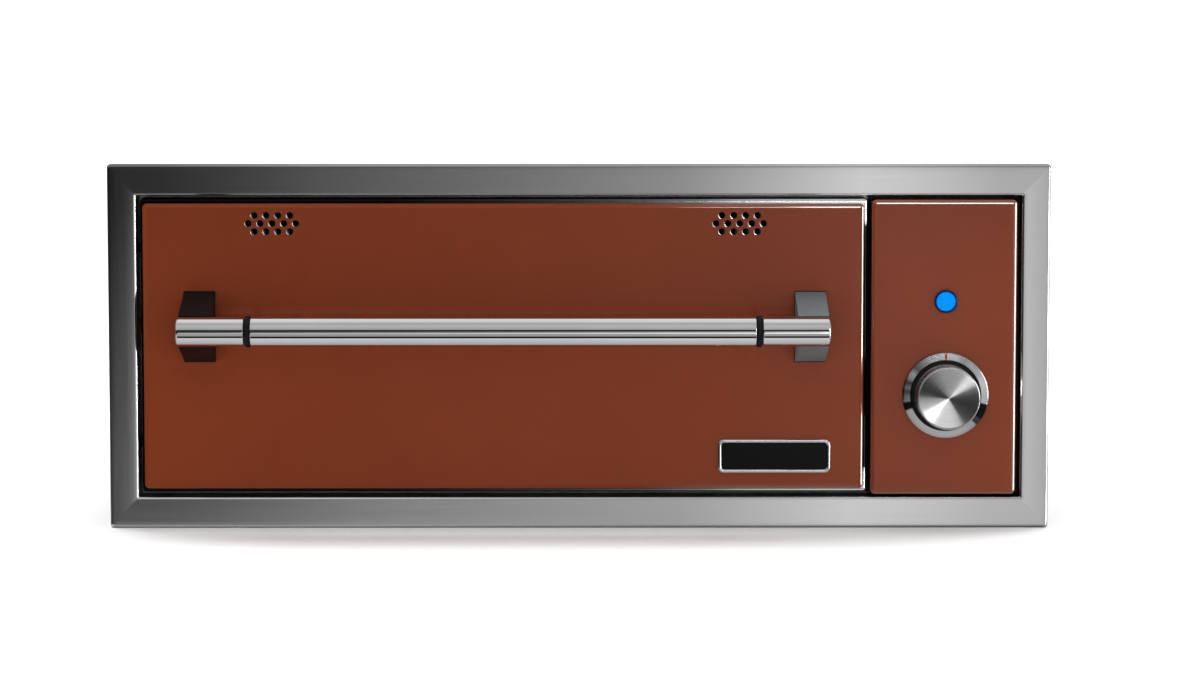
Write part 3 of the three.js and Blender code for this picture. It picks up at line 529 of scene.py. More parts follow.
STEEL = (0.60, 0.60, 0.61)
PAINT = (0.205, 0.0368, 0.0104)
M = {
    # the trim's rails take copies of one brushed steel, each toned lighter and darker along its length, the left
    # upright darker towards the top, as the light falls on them (painted shade and highlight)
    "trim": toned(brushed("trim_steel_painted_shade", "x", (0.80, 0.80, 0.813), 0.15, 0.0, 0.025, tangent=False, scratch=0.012), [(-0.342, 0.32), (-0.213, 0.57), (0.08, 0.65), (0.23, 1.0), (0.34, 0.68)]),
    "trim_low": toned(brushed("trim_brushed_steel_lower", "x", (0.92, 0.92, 0.935), 0.15, 0.0, 0.025, tangent=False, scratch=0.012), [(-0.35, 0.88), (-0.18, 1.0), (0.08, 0.72), (0.22, 0.84), (0.33, 0.63)]),
    "trim_left": toned(brushed("trim_brushed_steel_left", "z", (0.92, 0.92, 0.935), 0.15, 0.0, 0.025, tangent=False, scratch=0.012), [(-0.1, 1.0), (0.02, 0.66), (0.12, 0.30)], 2),
    # lighter steel for the trim's left inner lip: a painted highlight
    "trim_edge": brushed("trim_edge_steel", "z", (0.93, 0.93, 0.94), 0.10, 0.0, 0.03, tangent=False, scratch=0.01),
    "trim_v": brushed("trim_brushed_steel_upright", "z", STEEL, 0.15, 0.0, 0.025, tangent=False, scratch=0.012),
    "chrome": polished("polished_steel", (0.74, 0.74, 0.75), 0.03),
    # the handle posts: a matt dark grey, near black on the left post and light grey on the right one, stands in for a
    # polished post's reflections (painted reflection and shade)
    "post": toned(gloss(plain("cast_dark_steel", (0.158, 0.176, 0.181), 0.36, 0.0, 0.06, 70, 0.05), Specular_IOR_Level=0.06), [(-0.32, 0.035), (-0.2, 0.06), (0.1, 0.72), (0.2, 0.86)]),
    # copper brown enamel, toned lighter towards the bottom and darker towards the top as the light falls (painted
    # shade)
    "paint": toned(enamel("copper_brown_paint", PAINT, coat=0.32), [(-0.115, 1.10), (-0.05, 1.04), (0.03, 0.97), (0.115, 0.83)], 2),
    "paint_edge": gloss(enamel("copper_brown_paint_edge", PAINT, coat=1.0, coat_rough=0.07), Coat_IOR=1.9),
    "paint_edge_drawer": varied(gloss(enamel("copper_brown_paint_edge_drawer", PAINT, coat=1.0, coat_rough=0.07), Coat_IOR=1.9), "Coat Weight", [(0.05, 0.12), (0.12, 1.0)]),
    # steel for a crescent on the left front rim of each hole: a painted highlight
    "rim": brushed("hole_rim_painted_highlight", "x", (0.75, 0.74, 0.73), 0.3, 0.0, 0.05, tangent=False),
    # steel for the right end of the drawer front's rolled edge: near black between bright top and bottom ends (painted
    # shade)
    "tray_side": toned(brushed("tray_side_painted_shade", "z", (0.9, 0.905, 0.92), 0.16), [(-0.122, 1.0), (-0.103, 0.9), (-0.098, 0.008), (0.098, 0.006), (0.103, 0.9), (0.122, 1.0)], 2),
    "liner": brushed("liner_satin_steel", "x", (0.62, 0.62, 0.63), 0.3, 0.0, 0.05, tangent=False),
    # satin steel for the cavity liner, near black beyond x = 233.5 mm where its flange shows in the gap beside the
    # control panel (painted shade)
    "cavity": toned(brushed("cavity_steel_painted_shade", "x", (0.62, 0.62, 0.63), 0.3, 0.0, 0.05, tangent=False), [(-0.36, 1.0), (0.2335, 1.0), (0.2345, 0.03), (0.24, 0.03)]),
    "liner_y": brushed("liner_satin_steel_y", "y", (0.60, 0.60, 0.61), 0.32, 0.0, 0.06, tangent=False),
    "galv": galvanised("zinc_spangle"),
    "zinc": plain("zinc_plate", (0.60, 0.60, 0.585), 0.3, 1.0, 0.06, 50, 0.05),
    "black": plain("black_satin_plastic", (0.012, 0.012, 0.013), 0.38, 0.0, 0.2, 80, 0.08),
    "rubber": gloss(plain("black_rubber", (0.007, 0.007, 0.0075), 0.6, 0.0, 0.2, 120, 0.2), Specular_IOR_Level=0.12),
    # steel for the drawer front's rolled edge, near black on the left and full steel on the right (painted shade and
    # highlight)
    "tray": toned(brushed("tray_edge_painted_shade", "x", (0.9, 0.905, 0.92), 0.16, 0.0, 0.03, tangent=False), [(-0.36, 0.01), (-0.15, 0.012), (-0.06, 0.05), (0.0, 0.10), (0.06, 0.18), (0.10, 0.36), (0.14, 0.8), (0.2, 1.0), (0.24, 1.0)]),
    # near-black steel for the bend under the trim's bottom rail: a painted shade
    "under": brushed("trim_brushed_steel_underside", "x", (0.09, 0.09, 0.094), 0.3, 0.0, 0.03, tangent=False, scratch=0.012),
    "lamp_rim": gloss(plain("lamp_rim_black", (0.001, 0.008, 0.085), 0.35, 0.0, 0.2, 80, 0.08), Specular_IOR_Level=0.2),
    "gasket": plain("grey_silicone", (0.045, 0.046, 0.05), 0.55, 0.0, 0.15, 90, 0.2),
    "badge": enamel("black_badge_enamel", (0.0035, 0.0035, 0.0042), 0.35, 0.12, 0.06, 0.12, 0.2),
    # near-black oxide steel: the trim screws' finish, and also painted shade on the trim's inner return, on the trim
    # screws in the gap and in the handle's necks
    "oxide_and_shade": plain("black_oxide_and_painted_shade", (0.03, 0.03, 0.032), 0.45, 0.9, 0.15, 60, 0.08),
    "wool": plain("mineral_wool", (0.62, 0.56, 0.38), 0.95, 0.0, 0.18, 90, 0.9, 700, 0.001),
    "ceramic": plain("steatite", (0.74, 0.70, 0.62), 0.4, 0.0, 0.05, 60, 0.08),
    "brass": plain("bright_brass", (0.63, 0.43, 0.17), 0.28, 1.0, 0.07, 60, 0.05),
    "element": plain("heat_tinted_sheath", (0.23, 0.20, 0.18), 0.45, 0.85, 0.3, 26, 0.15),
    "wire": plain("black_wire_cover", (0.02, 0.02, 0.022), 0.5, 0.0, 0.2, 100, 0.1),
    "lens": lens("blue_lens", (0.0, 0.02, 0.10), (0.0, 0.30, 1.0), 1.0),
    # the knob's brushed face, toned darker and lighter in sectors round its centre: painted reflections
    "knob": toned(dished(brushed("knob_brushed_round", "r", (0.36, 0.36, 0.363), 0.36, 0.95, 0.10, scratch=0.03), (KNOB_X * MM, 0.0, KNOB_Z * MM), 0.11), [(-180, 0.9), (-170, 1.0), (-90, 1.0), (-66, 0.9), (-54, 0.4), (-20, 0.3), (10, 0.36), (22, 0.5), (30, 1.0), (42, 0.85), (90, 0.85), (128, 0.75), (142, 0.35), (160, 0.22), (172, 0.3), (180, 0.9)], pivot=(KNOB_X / 1000, KNOB_Z / 1000)),
    "knob_side": brushed("knob_brushed_side", "r", (0.60, 0.60, 0.605), 0.26, 0.7, 0.08),
    # the bezel's brushed ring, toned with near-black blocks and bright arcs round the knob: painted reflections
    "bezel": toned(brushed("bezel_painted_reflections", "r", (0.66, 0.66, 0.665), 0.22, 0.8, 0.10, scratch=0.05), [(-180, 0.4), (-171.5, 0.6), (-170, 0.02), (-160, 0.02), (-158, 1.0), (-120, 0.9), (-60, 0.85), (-44, 0.7), (-43, 0.05), (-36, 0.14), (-33, 0.02), (-13, 0.02), (-11, 1.0), (20, 1.0), (34, 0.75), (50, 0.6), (62, 0.45), (80, 0.75), (104, 0.7), (125, 0.5), (138, 0.25), (146, 0.9), (153, 0.8), (161, 0.1), (168, 0.5), (174, 0.15), (180, 0.4)], pivot=(KNOB_X / 1000, KNOB_Z / 1000)),
    "mark": gloss(enamel("red_index_paint", (0.62, 0.012, 0.012), 0.4, 0.1, 0.1, 0.05, 0.06), Specular_IOR_Level=0.0),
    # near black: the knob's pointer dot, and painted shade in the holes, gaps and ducts
    "dark": plain("dark_recess", (0.006, 0.006, 0.006), 0.8, 0.0, 0.3, 80, 0.1),
    "bronze": plain("ball_cage_bronze", (0.46, 0.35, 0.2), 0.35, 1.0, 0.1, 60, 0.08),
    "ball": polished("steel_balls", (0.7, 0.7, 0.71), 0.05),
}


# ---- trim frame ------------------------------------------------------------------------------------
def trim_frame():
    b = Build()
    seg = 5

    def out(d, y):  # a loop at distance d inside the outer edge
        return [(x, y, z) for x, z in rrect(*grow(TRIM, -d), max(2.6 - 0.6 * d, 0.35), seg)]

    def ins(e, y):  # a loop at distance e outside the opening
        return [(x, y, z) for x, z in rrect(*grow(OPENING, e), 0.9 + 0.3 * e if e < 3 else 1.5, seg)]

    R, r = 2.4, 1.9
    loops = [out(13, 0), out(1.6, 0), out(0.5, -0.15), out(0.0, -0.9), out(0, -TRIM_DEPTH + R)]
    for i in range(1, 7):
        a = math.radians(90 * i / 6)
        loops.append(out(R * (1 - math.cos(a)), -TRIM_DEPTH + R * (1 - math.sin(a))))
    # the face is very slightly crowned, as a rolled and polished strip is
    for k in (0.15, 0.3, 0.5, 0.7, 0.85):
        d = R + (23.4 - R - r) * k
        loops.append([(x, TRIM_Y - 0.12 * (1 - (2 * k - 1) ** 2), z) for x, z in rrect(TRIM[0] + d, TRIM[1] - d, TRIM[2] + d * 25.2 / 23.2, TRIM[3] - d * 25.2 / 23.2, 0.8, seg)])
    for e, y in ((r, 0.0), (1.62, 0.05), (1.32, 0.19), (0.5, 0.74), (0.2, 1.06), (0.05, 1.4), (0.0, 1.9)):
        loops.append(ins(e, TRIM_Y + y))
    loops += [ins(0, TRIM_BACK - 0.3), ins(0.3, TRIM_BACK), ins(0.9, TRIM_BACK), ins(1.2, TRIM_BACK - 0.3), ins(1.2, TRIM_Y + 2.6), ins(2.6, TRIM_Y + 1.2), out(3.2, TRIM_Y + 1.2), out(1.2, TRIM_Y + 3.2), out(1.2, -1.2), out(13, -1.2)]
    b.loft(loops, ring=True)
    # faces of the upright rails take the upright grain; each rail takes its own copy of the steel, toned darker or
    # lighter as the light falls on it (painted shade and highlight)
    for i, f in enumerate(b.f):
        x = sum(b.v[j][0] for j in f) / len(f)
        z = sum(b.v[j][2] for j in f) / len(f)
        y = sum(b.v[j][1] for j in f) / len(f)
        b.m[i] = (1 if x > 0 else 5) if (381 - abs(x)) * 25.2 / 23.2 < (147.7 - abs(z)) else (0 if z > 0 else 4)
        # the left inner lip takes the lighter steel, a painted highlight
        if -11.97 < y < -9.9 and -359.5 < x < -355 and abs(z) < 123:
            b.m[i] = 6
        # the inner return, deep in the gap, takes the near-black oxide steel: a painted shade
        if y > -9.9 and abs(x) < 359.5 and abs(z) < 124.2:
            b.m[i] = 2
        # the bend under the bottom rail takes the near-black steel, a painted shade
        if z < -146.7:
            b.m[i] = 3
    return b.piece("trim_frame_steel", [M["trim"], M["trim_v"], M["oxide_and_shade"], M["under"], M["trim_low"], M["trim_left"], M["trim_edge"]], "housing", "brushed_steel", ["trim_frame"])


TRIM_DEPTH = 12.0
trim_frame()


def control_seal():
    """Black foam between the control panel's folded edge and the trim's return, at the top, the right and the bottom;
    its black also stands in for the shade in that gap (painted shade).
    """
    b = Build()
    y0, y1 = -1.0, 8.0
    b.rbox(237.4, 357.5, y0, y1, 119.5, 122.3, 0.5)
    b.rbox(237.4, 357.5, y0, y1, -122.3, -120.4, 0.5)
    b.rbox(354.4, 357.5, y0, y1, -119.9, 119.0, 0.5)
    b.piece("control_panel_seal", [M["dark"]], "housing", "black_rubber")


control_seal()


# ---- painted panels --------------------------------------------------------------------------------
def folded_panel(name, rect, y0, y1, holes, body, replaces, corner=2.5, R=3.6, depth=2.4, sheet=1.0, seg=8, plain_right=False):
    """A sheet with its edges folded back: face with round holes, rolled bend, return and inside."""
    b = Build()
    loops = []
    for i in range(seg + 1):
        a = math.pi / 2 * i / seg
        inset, y = R * (1 - math.sin(a)), y0 + depth * (1 - math.cos(a))
        loops.append([(x, y, z) for x, z in rrect(*grow(rect, -inset), max(corner + 1.2 - inset, 0.6), 5)])
    face = [(x, z) for x, _, z in loops[0]]
    loops += [[(x, y1, z) for x, z in rrect(*rect, corner + 1.2, 5)], [(x, y1, z) for x, z in rrect(*grow(rect, -sheet), corner, 5)]]
    inner_y = y0 + sheet
    loops.append([(x, max(inner_y + 1.2, y1 - 0.4) if y1 - inner_y < 2 else inner_y + 2.0, z) for x, z in rrect(*grow(rect, -sheet), corner, 5)])
    loops.append([(x, inner_y, z) for x, z in rrect(*grow(rect, -sheet - 2.4), corner, 5)])
    back = [(x, z) for x, _, z in loops[-1]]
    b.loft(loops, 1, caps=(False, False))
    rims, floors = [], []
    for cx, cz, r, n in holes:
        e = 0.5
        ring = [circle(cx, cz, r + e, n), circle(cx, cz, r + 0.12, n), circle(cx, cz, r, n), circle(cx, cz, r, n)]
        ys = [y0, y0 + 0.1, y0 + e, inner_y]
        b.loft([[(x, y, z) for x, z in c] for c, y in zip(ring, ys)], 1, caps=(False, False))
        rims.append(ring[0])
        floors.append(ring[-1])
    b.fill([face] + rims, lambda a, c: (a, y0, c))
    b.fill([back] + floors, lambda a, c: (a, inner_y, c), flip=True)
    for i, f in enumerate(b.f):
        if b.m[i] == 1:
            x, y, z = (sum(b.v[j][k] for j in f) / len(f) for k in range(3))
            # hole walls: a crescent on each hole's left front rim takes bright steel, a painted highlight; the rest
            # takes near black, a painted shade
            if min(abs(x - rect[0]), abs(x - rect[1]), abs(z - rect[2]), abs(z - rect[3])) > R + 1:
                cx, cz, r, n = min(holes, key=lambda h: (h[0] - x) ** 2 + (h[1] - z) ** 2)
                lit_crescent = y < y0 + 0.6 and -0.45 < math.atan2(z - cz, cx - x) < 0.35
                lit_crescent = lit_crescent or (y < y0 + 0.6 and -1.35 < math.atan2(z - cz, cx - x) <= -0.45)
                b.m[i] = 2 if lit_crescent else 3
            elif plain_right and rect[1] - x < R + 1 and rect[3] - z > R:
                b.m[i] = 0 if rect[1] - x > 1.7 else 1
            # the control panel's left return, seen in the gap, takes near black: a painted shade
            elif not plain_right and x < rect[0] + 0.3 and y > y0 + 2:
                b.m[i] = 3
    return b.piece(name, [M["paint"], M["paint_edge_drawer" if plain_right else "paint_edge"], M["rim"], M["dark"]], body, "paint", replaces, angle=50)


screw_x = [BAR_X - (POST_IN + POST_OUT) / 2, BAR_X + (POST_IN + POST_OUT) / 2]
folded_panel("drawer_front_enamel", PANEL, SKIN_Y, -11.3,
             [(x, z, VENT_R, 20) for x, z in vent_centres()] + [(x, BAR_Z, 2.8, 16) for x in screw_x],
             "drawer", ["drawer_front_panel"], plain_right=True)
folded_panel("control_panel_enamel", CTRL, SKIN_Y, 12.0,
             [(KNOB_X, KNOB_Z, 5.6, 24), (LAMP_X, LAMP_Z, 7.3, 24)], "housing", ["control_panel"])


# ---- handle ----------------------------------------------------------------------------------------
def handle():
    half = RING_MID - RING_W / 2 - 0.3
    b = Build()
    e = 0.7
    prof = [(0, -half), (BAR_R - e - 1.2, -half)] + [(BAR_R - e + e * math.sin(t), -half + e - e * math.cos(t)) for t in (0, 0.4, 0.8, 1.2, math.pi / 2)]
    prof += [(BAR_R, -half + k * half / 4) for k in range(1, 8)]
    prof += [(BAR_R - e + e * math.sin(t), half - e + e * math.cos(t)) for t in (math.pi / 2, 1.2, 0.8, 0.4, 0)] + [(BAR_R - e - 1.2, half), (0, half)]
    b.lathe([(r, BAR_X + x) for r, x in prof], "x", (BAR_Y, BAR_Z), 128)
    b.piece("handle_bar_polished", [M["chrome"]], "drawer", "polished_steel", ["handle_bar"])
    for side, s in (("left", -1), ("right", 1)):
        def at(prof):
            return [(r, BAR_X + s * u) for r, u in prof]
        w = RING_W / 2
        b = Build()
        b.lathe(at([(0, RING_MID - w), (RING_R - 0.6, RING_MID - w), (RING_R - 0.18, RING_MID - w + 0.18), (RING_R, RING_MID - w + 0.6), (RING_R, RING_MID + w - 0.6), (RING_R - 0.18, RING_MID + w - 0.18), (RING_R - 0.6, RING_MID + w), (0, RING_MID + w)]), "x", (BAR_Y, BAR_Z), 96)
        b.piece(f"handle_ring_{side}_rubber", [M["rubber"]], "drawer", "black_rubber", [f"handle_ring_{side}"])
        b = Build()
        F = FERRULE_R
        dome = [(F, BAR_HALF - 2.6), (F - 0.12, BAR_HALF - 1.9), (F - 0.5, BAR_HALF - 1.25), (F - 1.2, BAR_HALF - 0.75), (F - 3.2, BAR_HALF - 0.38), (F - 6.5, BAR_HALF - 0.12), (0, BAR_HALF)]
        b.lathe(at([(0, FERRULE_IN - 0.6), (10.2, FERRULE_IN - 0.6), (10.2, FERRULE_IN + 0.1), (F - 0.9, FERRULE_IN + 0.2), (F - 0.3, FERRULE_IN + 0.35), (F - 0.06, FERRULE_IN + 0.6), (F, FERRULE_IN + 1.1), (F, 220), (F, 235), (F, 250)] + dome), "x", (BAR_Y, BAR_Z), 96)
        # the neck between ferrule and ring takes the near-black oxide steel, a painted shade of the gap there
        b.m = [1 if max(math.hypot(b.v[j][1] - BAR_Y, b.v[j][2] - BAR_Z) for j in f) < F - 0.8 and abs(sum(b.v[j][0] for j in f) / len(f) - BAR_X) < 210 else 0 for f in b.f]
        b.piece(f"handle_ferrule_{side}_polished", [M["chrome"], M["oxide_and_shade"]], "drawer", "polished_steel", [f"handle_ferrule_{side}"])
        # post: a tapered block with a saddle for the bar
        b = Build()
        hole = F + 0.32
        y_end = BAR_Y + 2.0
        t = (y_end - BAR_Y) / (SKIN_Y - 0.3 - BAR_Y)
        h_end = F + (POST_HALF_Z - F) * t
        sz = math.sqrt(hole * hole - 4.0)
        a0 = math.atan2(sz, 2.0)
        arc = [(BAR_Y + hole * math.cos(a0 - 2 * a0 * i / 18), BAR_Z + hole * math.sin(a0 - 2 * a0 * i / 18)) for i in range(19)]
        outline = [(SKIN_Y - 0.3, BAR_Z - POST_HALF_Z), (SKIN_Y - 0.3, BAR_Z + POST_HALF_Z), (y_end, BAR_Z + h_end)] + arc + [(y_end, BAR_Z - h_end)]
        x0, x1 = sorted((BAR_X + s * POST_IN, BAR_X + s * POST_OUT))
        b.loft([[(x0, y, z) for y, z in outline], [(x1, y, z) for y, z in outline]])
        ob = b.piece(f"handle_post_{side}_cast", [M["post"]], "drawer", "dark_cast", [f"handle_post_{side}"], angle=30)
        ob.modifiers.clear()
        bev = ob.modifiers.new("round", "BEVEL")
        bev.width, bev.segments, bev.limit_method, bev.angle_limit = 0.0009, 4, "ANGLE", math.radians(35)
        bev.harden_normals = True
        # a thin foot where the post meets the painted sheet
        b = Build()
        b.rbox(x0 - 0.5, x1 + 0.5, SKIN_Y - 0.75, SKIN_Y - 0.05, BAR_Z - POST_HALF_Z - 0.5, BAR_Z + POST_HALF_Z + 0.5, 0.25)
        b.piece(f"handle_foot_{side}_pad", [M["rubber"]], "drawer", "black_rubber")


handle()


# ---- badge place -----------------------------------------------------------------------------------
def badge():
    x, z, w, h = BADGE
    rect = (x - w / 2, x + w / 2, z - h / 2, z + h / 2)
    b = Build()
    yb, yf = SKIN_Y - 0.02, -16.4
    prof = [(0.0, yb), (0.0, -15.3)] + [(1.35 - 1.35 * math.cos(t), -15.3 - 1.1 * math.sin(t)) for t in [math.pi * i / 10 for i in range(1, 10)]] + [(2.7, -15.3), (2.7, yb)]
    loops = [[(a, y, c) for a, c in rrect(*grow(rect, -d), 4.5 - 0.75 * d, 8)] for d, y in prof]
    b.loft(loops, ring=True)
    b.piece("badge_rim_polished", [M["chrome"]], "drawer", "polished_steel", ["badge_rim"])
    b = Build()
    plate = [(2.6, yb), (2.6, -15.0), (3.1, -15.2), (4.2, -15.25)]
    b.loft([[(a, y, c) for a, c in rrect(*grow(rect, -d), max(4.5 - 0.7 * d, 0.8), 8)] for d, y in plate])
    b.piece("badge_plate_black", [M["badge"]], "drawer", "black_enamel", ["badge_plate"])


badge()


# ---- knob, bezel and lamp --------------------------------------------------------------------------
def knob():
    K = (KNOB_X, KNOB_Z)
    f, R = KNOB_FRONT, KNOB_R
    b = Build()
    edge = [(R - 0.8 + 0.8 * math.sin(t), f + 0.8 - 0.8 * math.cos(t)) for t in [math.pi / 2 * i / 8 for i in range(9)]]
    prof = [(3.4, -18.5), (3.4, f + 6.6), (0, f + 6.6), (0, f + 1.0), (R - 1.25, f + 1.0), (R - 1.15, f + 0.2), (R - 1.0, f + 0.02)] + edge
    prof += [(R, f + 6), (R, f + 12), (R, f + 18), (R, f + 22.4), (R - 0.35, f + 22.8), (R - 0.35, f + 23.6), (R, f + 24.0), (R, -16.9), (R - 0.3, -16.5), (R - 2.0, -16.0), (R - 2.4, -16.0), (R - 2.4, f + 5), (8, f + 5), (8, -18.5), (3.4, -18.5)]
    b.lathe(prof, "y", K, 96)
    b.piece("knob_body_brushed", [M["knob_side"]], "knob", "brushed_steel", ["knob_body"])
    b = Build()
    # shallow dish, so that its brushing fans out the light
    face = [(0.0, f + 0.55), (4, f + 0.52), (10, f + 0.42), (16, f + 0.28), (R - 3.2, f + 0.13), (R - 1.7, f + 0.08), (R - 1.4, f + 0.14), (R - 1.3, f + 0.4), (R - 1.3, f + 0.8), (0, f + 0.8)]
    b.lathe(face, "y", K, 128)
    b.piece("knob_face_brushed", [M["knob"]], "knob", "brushed_steel", ["knob_face"])
    # small pointer dot let into the top of the rim
    b = Build()
    b.lathe([(0.0, KNOB_Z + R + 0.06), (0.8, KNOB_Z + R + 0.06), (1.05, KNOB_Z + R - 0.1), (1.05, KNOB_Z + R - 1.0), (0.0, KNOB_Z + R - 1.0)], "z", (KNOB_X, f + 3.6), 20)
    b.piece("knob_pointer_dot", [M["dark"]], "knob", "brushed_steel")
    # bezel ring on the panel, with the index mark at the top
    b = Build()
    B, I = BEZEL_R, BEZEL_IN
    prof = [(I, -14.05), (I, -17.0), (I + 0.1, -17.5), (I + 0.3, -17.8), (I + 0.6, -17.88), (B - 1.0, -17.74), (B - 0.5, -17.5), (B - 0.2, -17.0), (B - 0.05, -16.3), (B, -15.4), (B, -14.05)]
    b.lathe(prof, "y", K, 128, closed=True)
    b.piece("knob_bezel_steel", [M["bezel"]], "housing", "polished_steel", ["knob_bezel"])
    b = Build()
    b.rbox(KNOB_X - 0.8, KNOB_X + 0.8, -18.05, -16.9, KNOB_Z + 29.2, KNOB_Z + 33.8, 0.1, 1)
    b.piece("knob_index_mark", [M["mark"]], "housing", "polished_steel")
    # black disc under the skirt, which makes the gap round the knob black (painted shade)
    b = Build()
    b.lathe([(6.2, -14.05), (6.2, -14.7), (6.6, -14.9), (27.2, -14.9), (28.0, -14.7), (28.3, -14.3), (28.3, -14.05)], "y", K, 96, closed=True)
    b.piece("knob_dust_disc", [M["dark"]], "housing", "black_plastic")


def lamp():
    L = (LAMP_X, LAMP_Z)
    r = LAMP_R
    b = Build()
    b.lathe([(7.75, -14.05), (7.75, -15.9), (7.95, -16.4), (8.4, -16.55), (r - 0.3, -16.2), (r, -15.3), (r, -14.05)], "y", L, 64, closed=True)
    b.piece("pilot_lamp_rim", [M["lamp_rim"]], "housing", "black_plastic", ["pilot_lamp_bezel"])
    b = Build()
    dome = [(0, -16.9), (4, -16.85), (5.9, -16.75), (6.7, -16.55), (7.2, -16.2), (7.5, -15.7), (7.6, -15.0), (7.6, -14.2), (0, -14.2)]
    b.lathe(dome, "y", L, 64)
    b.piece("pilot_lamp_lens_blue", [M["lens"]], "housing", "blue_lens", ["pilot_lamp_lens"])


knob()
lamp()


# ---- fasteners -------------------------------------------------------------------------------------
def screw(b, axis, sign, centre, surface, r=3.4, h=1.9, turn=0.0, mat=0):
    """Pan head with a cross recess. axis and sign: where the head points; surface: the sheet's face on that axis."""
    def P(a, c, d):  # a, c across, d out of the sheet
        ca, sa = math.cos(turn), math.sin(turn)
        u, w = centre[0] + a * ca - c * sa, centre[1] + a * sa + c * ca
        return {"x": (surface + sign * d, u, w), "y": (u, surface + sign * d, w), "z": (u, w, surface + sign * d)}[axis]
    n = 24
    rings = [(r, -0.1), (r, 0.35 * h), (r * 0.94, 0.66 * h), (r * 0.78, 0.88 * h), (r * 0.62, 0.98 * h)]
    loops = [[P(q * math.cos(TAU * k / n), q * math.sin(TAU * k / n), d) for k in range(n)] for q, d in rings]
    # cross recess: a plus-shaped outline that shrinks into the head
    w, l = 0.17 * r, 0.5 * r
    plus = []
    for k in range(4):
        c, s = math.cos(math.pi / 2 * k), math.sin(math.pi / 2 * k)
        for a, q in ((w, -w), (l, -w), (l, 0), (l, w), (w, w), (w * 0.999, w * 1.001)):
            plus.append((a * c - q * s, a * s + q * c))
    order = sorted(range(24), key=lambda i: math.atan2(plus[i][1], plus[i][0]) % TAU)
    plus = [plus[i] for i in order]
    loops.append([P(a, c, h) for a, c in plus])
    loops.append([P(a * 0.55, c * 0.55, 0.35 * h) for a, c in plus])
    b.loft(loops, mat, caps=(True, True))


# ---- chassis: shell, covers, screws ----------------------------------------------------------------
def bead(b, axis, sign, rect, surface, w=9.0, h=1.1, mat=0):
    """A pressed stiffening bead: a low rounded bar that grows out of the sheet. rect: centre line ends (a0, c0, a1, c1)."""
    a0, c0, a1, c1 = rect
    ln = math.dist((a0, c0), (a1, c1))
    ux, uy = (a1 - a0) / ln, (c1 - c0) / ln
    def P(s, t, d):
        u, v = a0 + ux * s - uy * t, c0 + uy * s + ux * t
        return {"x": (surface + sign * d, u, v), "y": (u, surface + sign * d, v), "z": (u, v, surface + sign * d)}[axis]
    loops = []
    for k, d in ((1.0, -0.05), (0.86, 0.12 * h), (0.66, 0.62 * h), (0.45, 0.93 * h), (0.2, h)):
        q = w / 2 * k
        pts = []
        for i in range(9):
            t = math.pi / 2 + math.pi * i / 8
            pts.append(P(q * math.cos(t), q * math.sin(t), d))
        for i in range(9):
            t = -math.pi / 2 + math.pi * i / 8
            pts.append(P(ln + q * math.cos(t), q * math.sin(t), d))
        loops.append(pts)
    b.loft(loops, mat)


def sheet_panel(b, axis, outer, outline, holes, thick, soft=0.35):
    """A flat sheet of metal with its edges eased. axis, outer: face place; outline: 2D; holes: list of 2D loops; thick is signed inwards."""
    def place(d):
        return lambda a, c: {"x": (outer + d, a, c), "y": (a, outer + d, c), "z": (a, c, outer + d)}[axis]
    def shrink(loop, by):
        n = len(loop)
        cx = sum(p[0] for p in loop) / n
        cy = sum(p[1] for p in loop) / n
        hx = max(abs(p[0] - cx) for p in loop)
        hy = max(abs(p[1] - cy) for p in loop)
        return [(cx + (p[0] - cx) * (hx - by) / hx, cy + (p[1] - cy) * (hy - by) / hy) for p in loop]
    s = math.copysign(1, thick)
    b.loft([[place(d)(a, c) for a, c in shrink(outline, q)] for q, d in ((soft, 0), (0.1, s * 0.1), (0, s * soft), (0, thick))], caps=(False, False))
    for h in holes:
        b.loft([[place(d)(a, c) for a, c in shrink(h, q)] for q, d in ((-soft, 0), (-0.1, s * 0.1), (0, s * soft), (0, thick))], caps=(False, False))
    b.fill([shrink(outline, soft)] + [shrink(h, -soft) for h in holes], place(0))
    b.fill([outline] + holes, place(thick), flip=True)


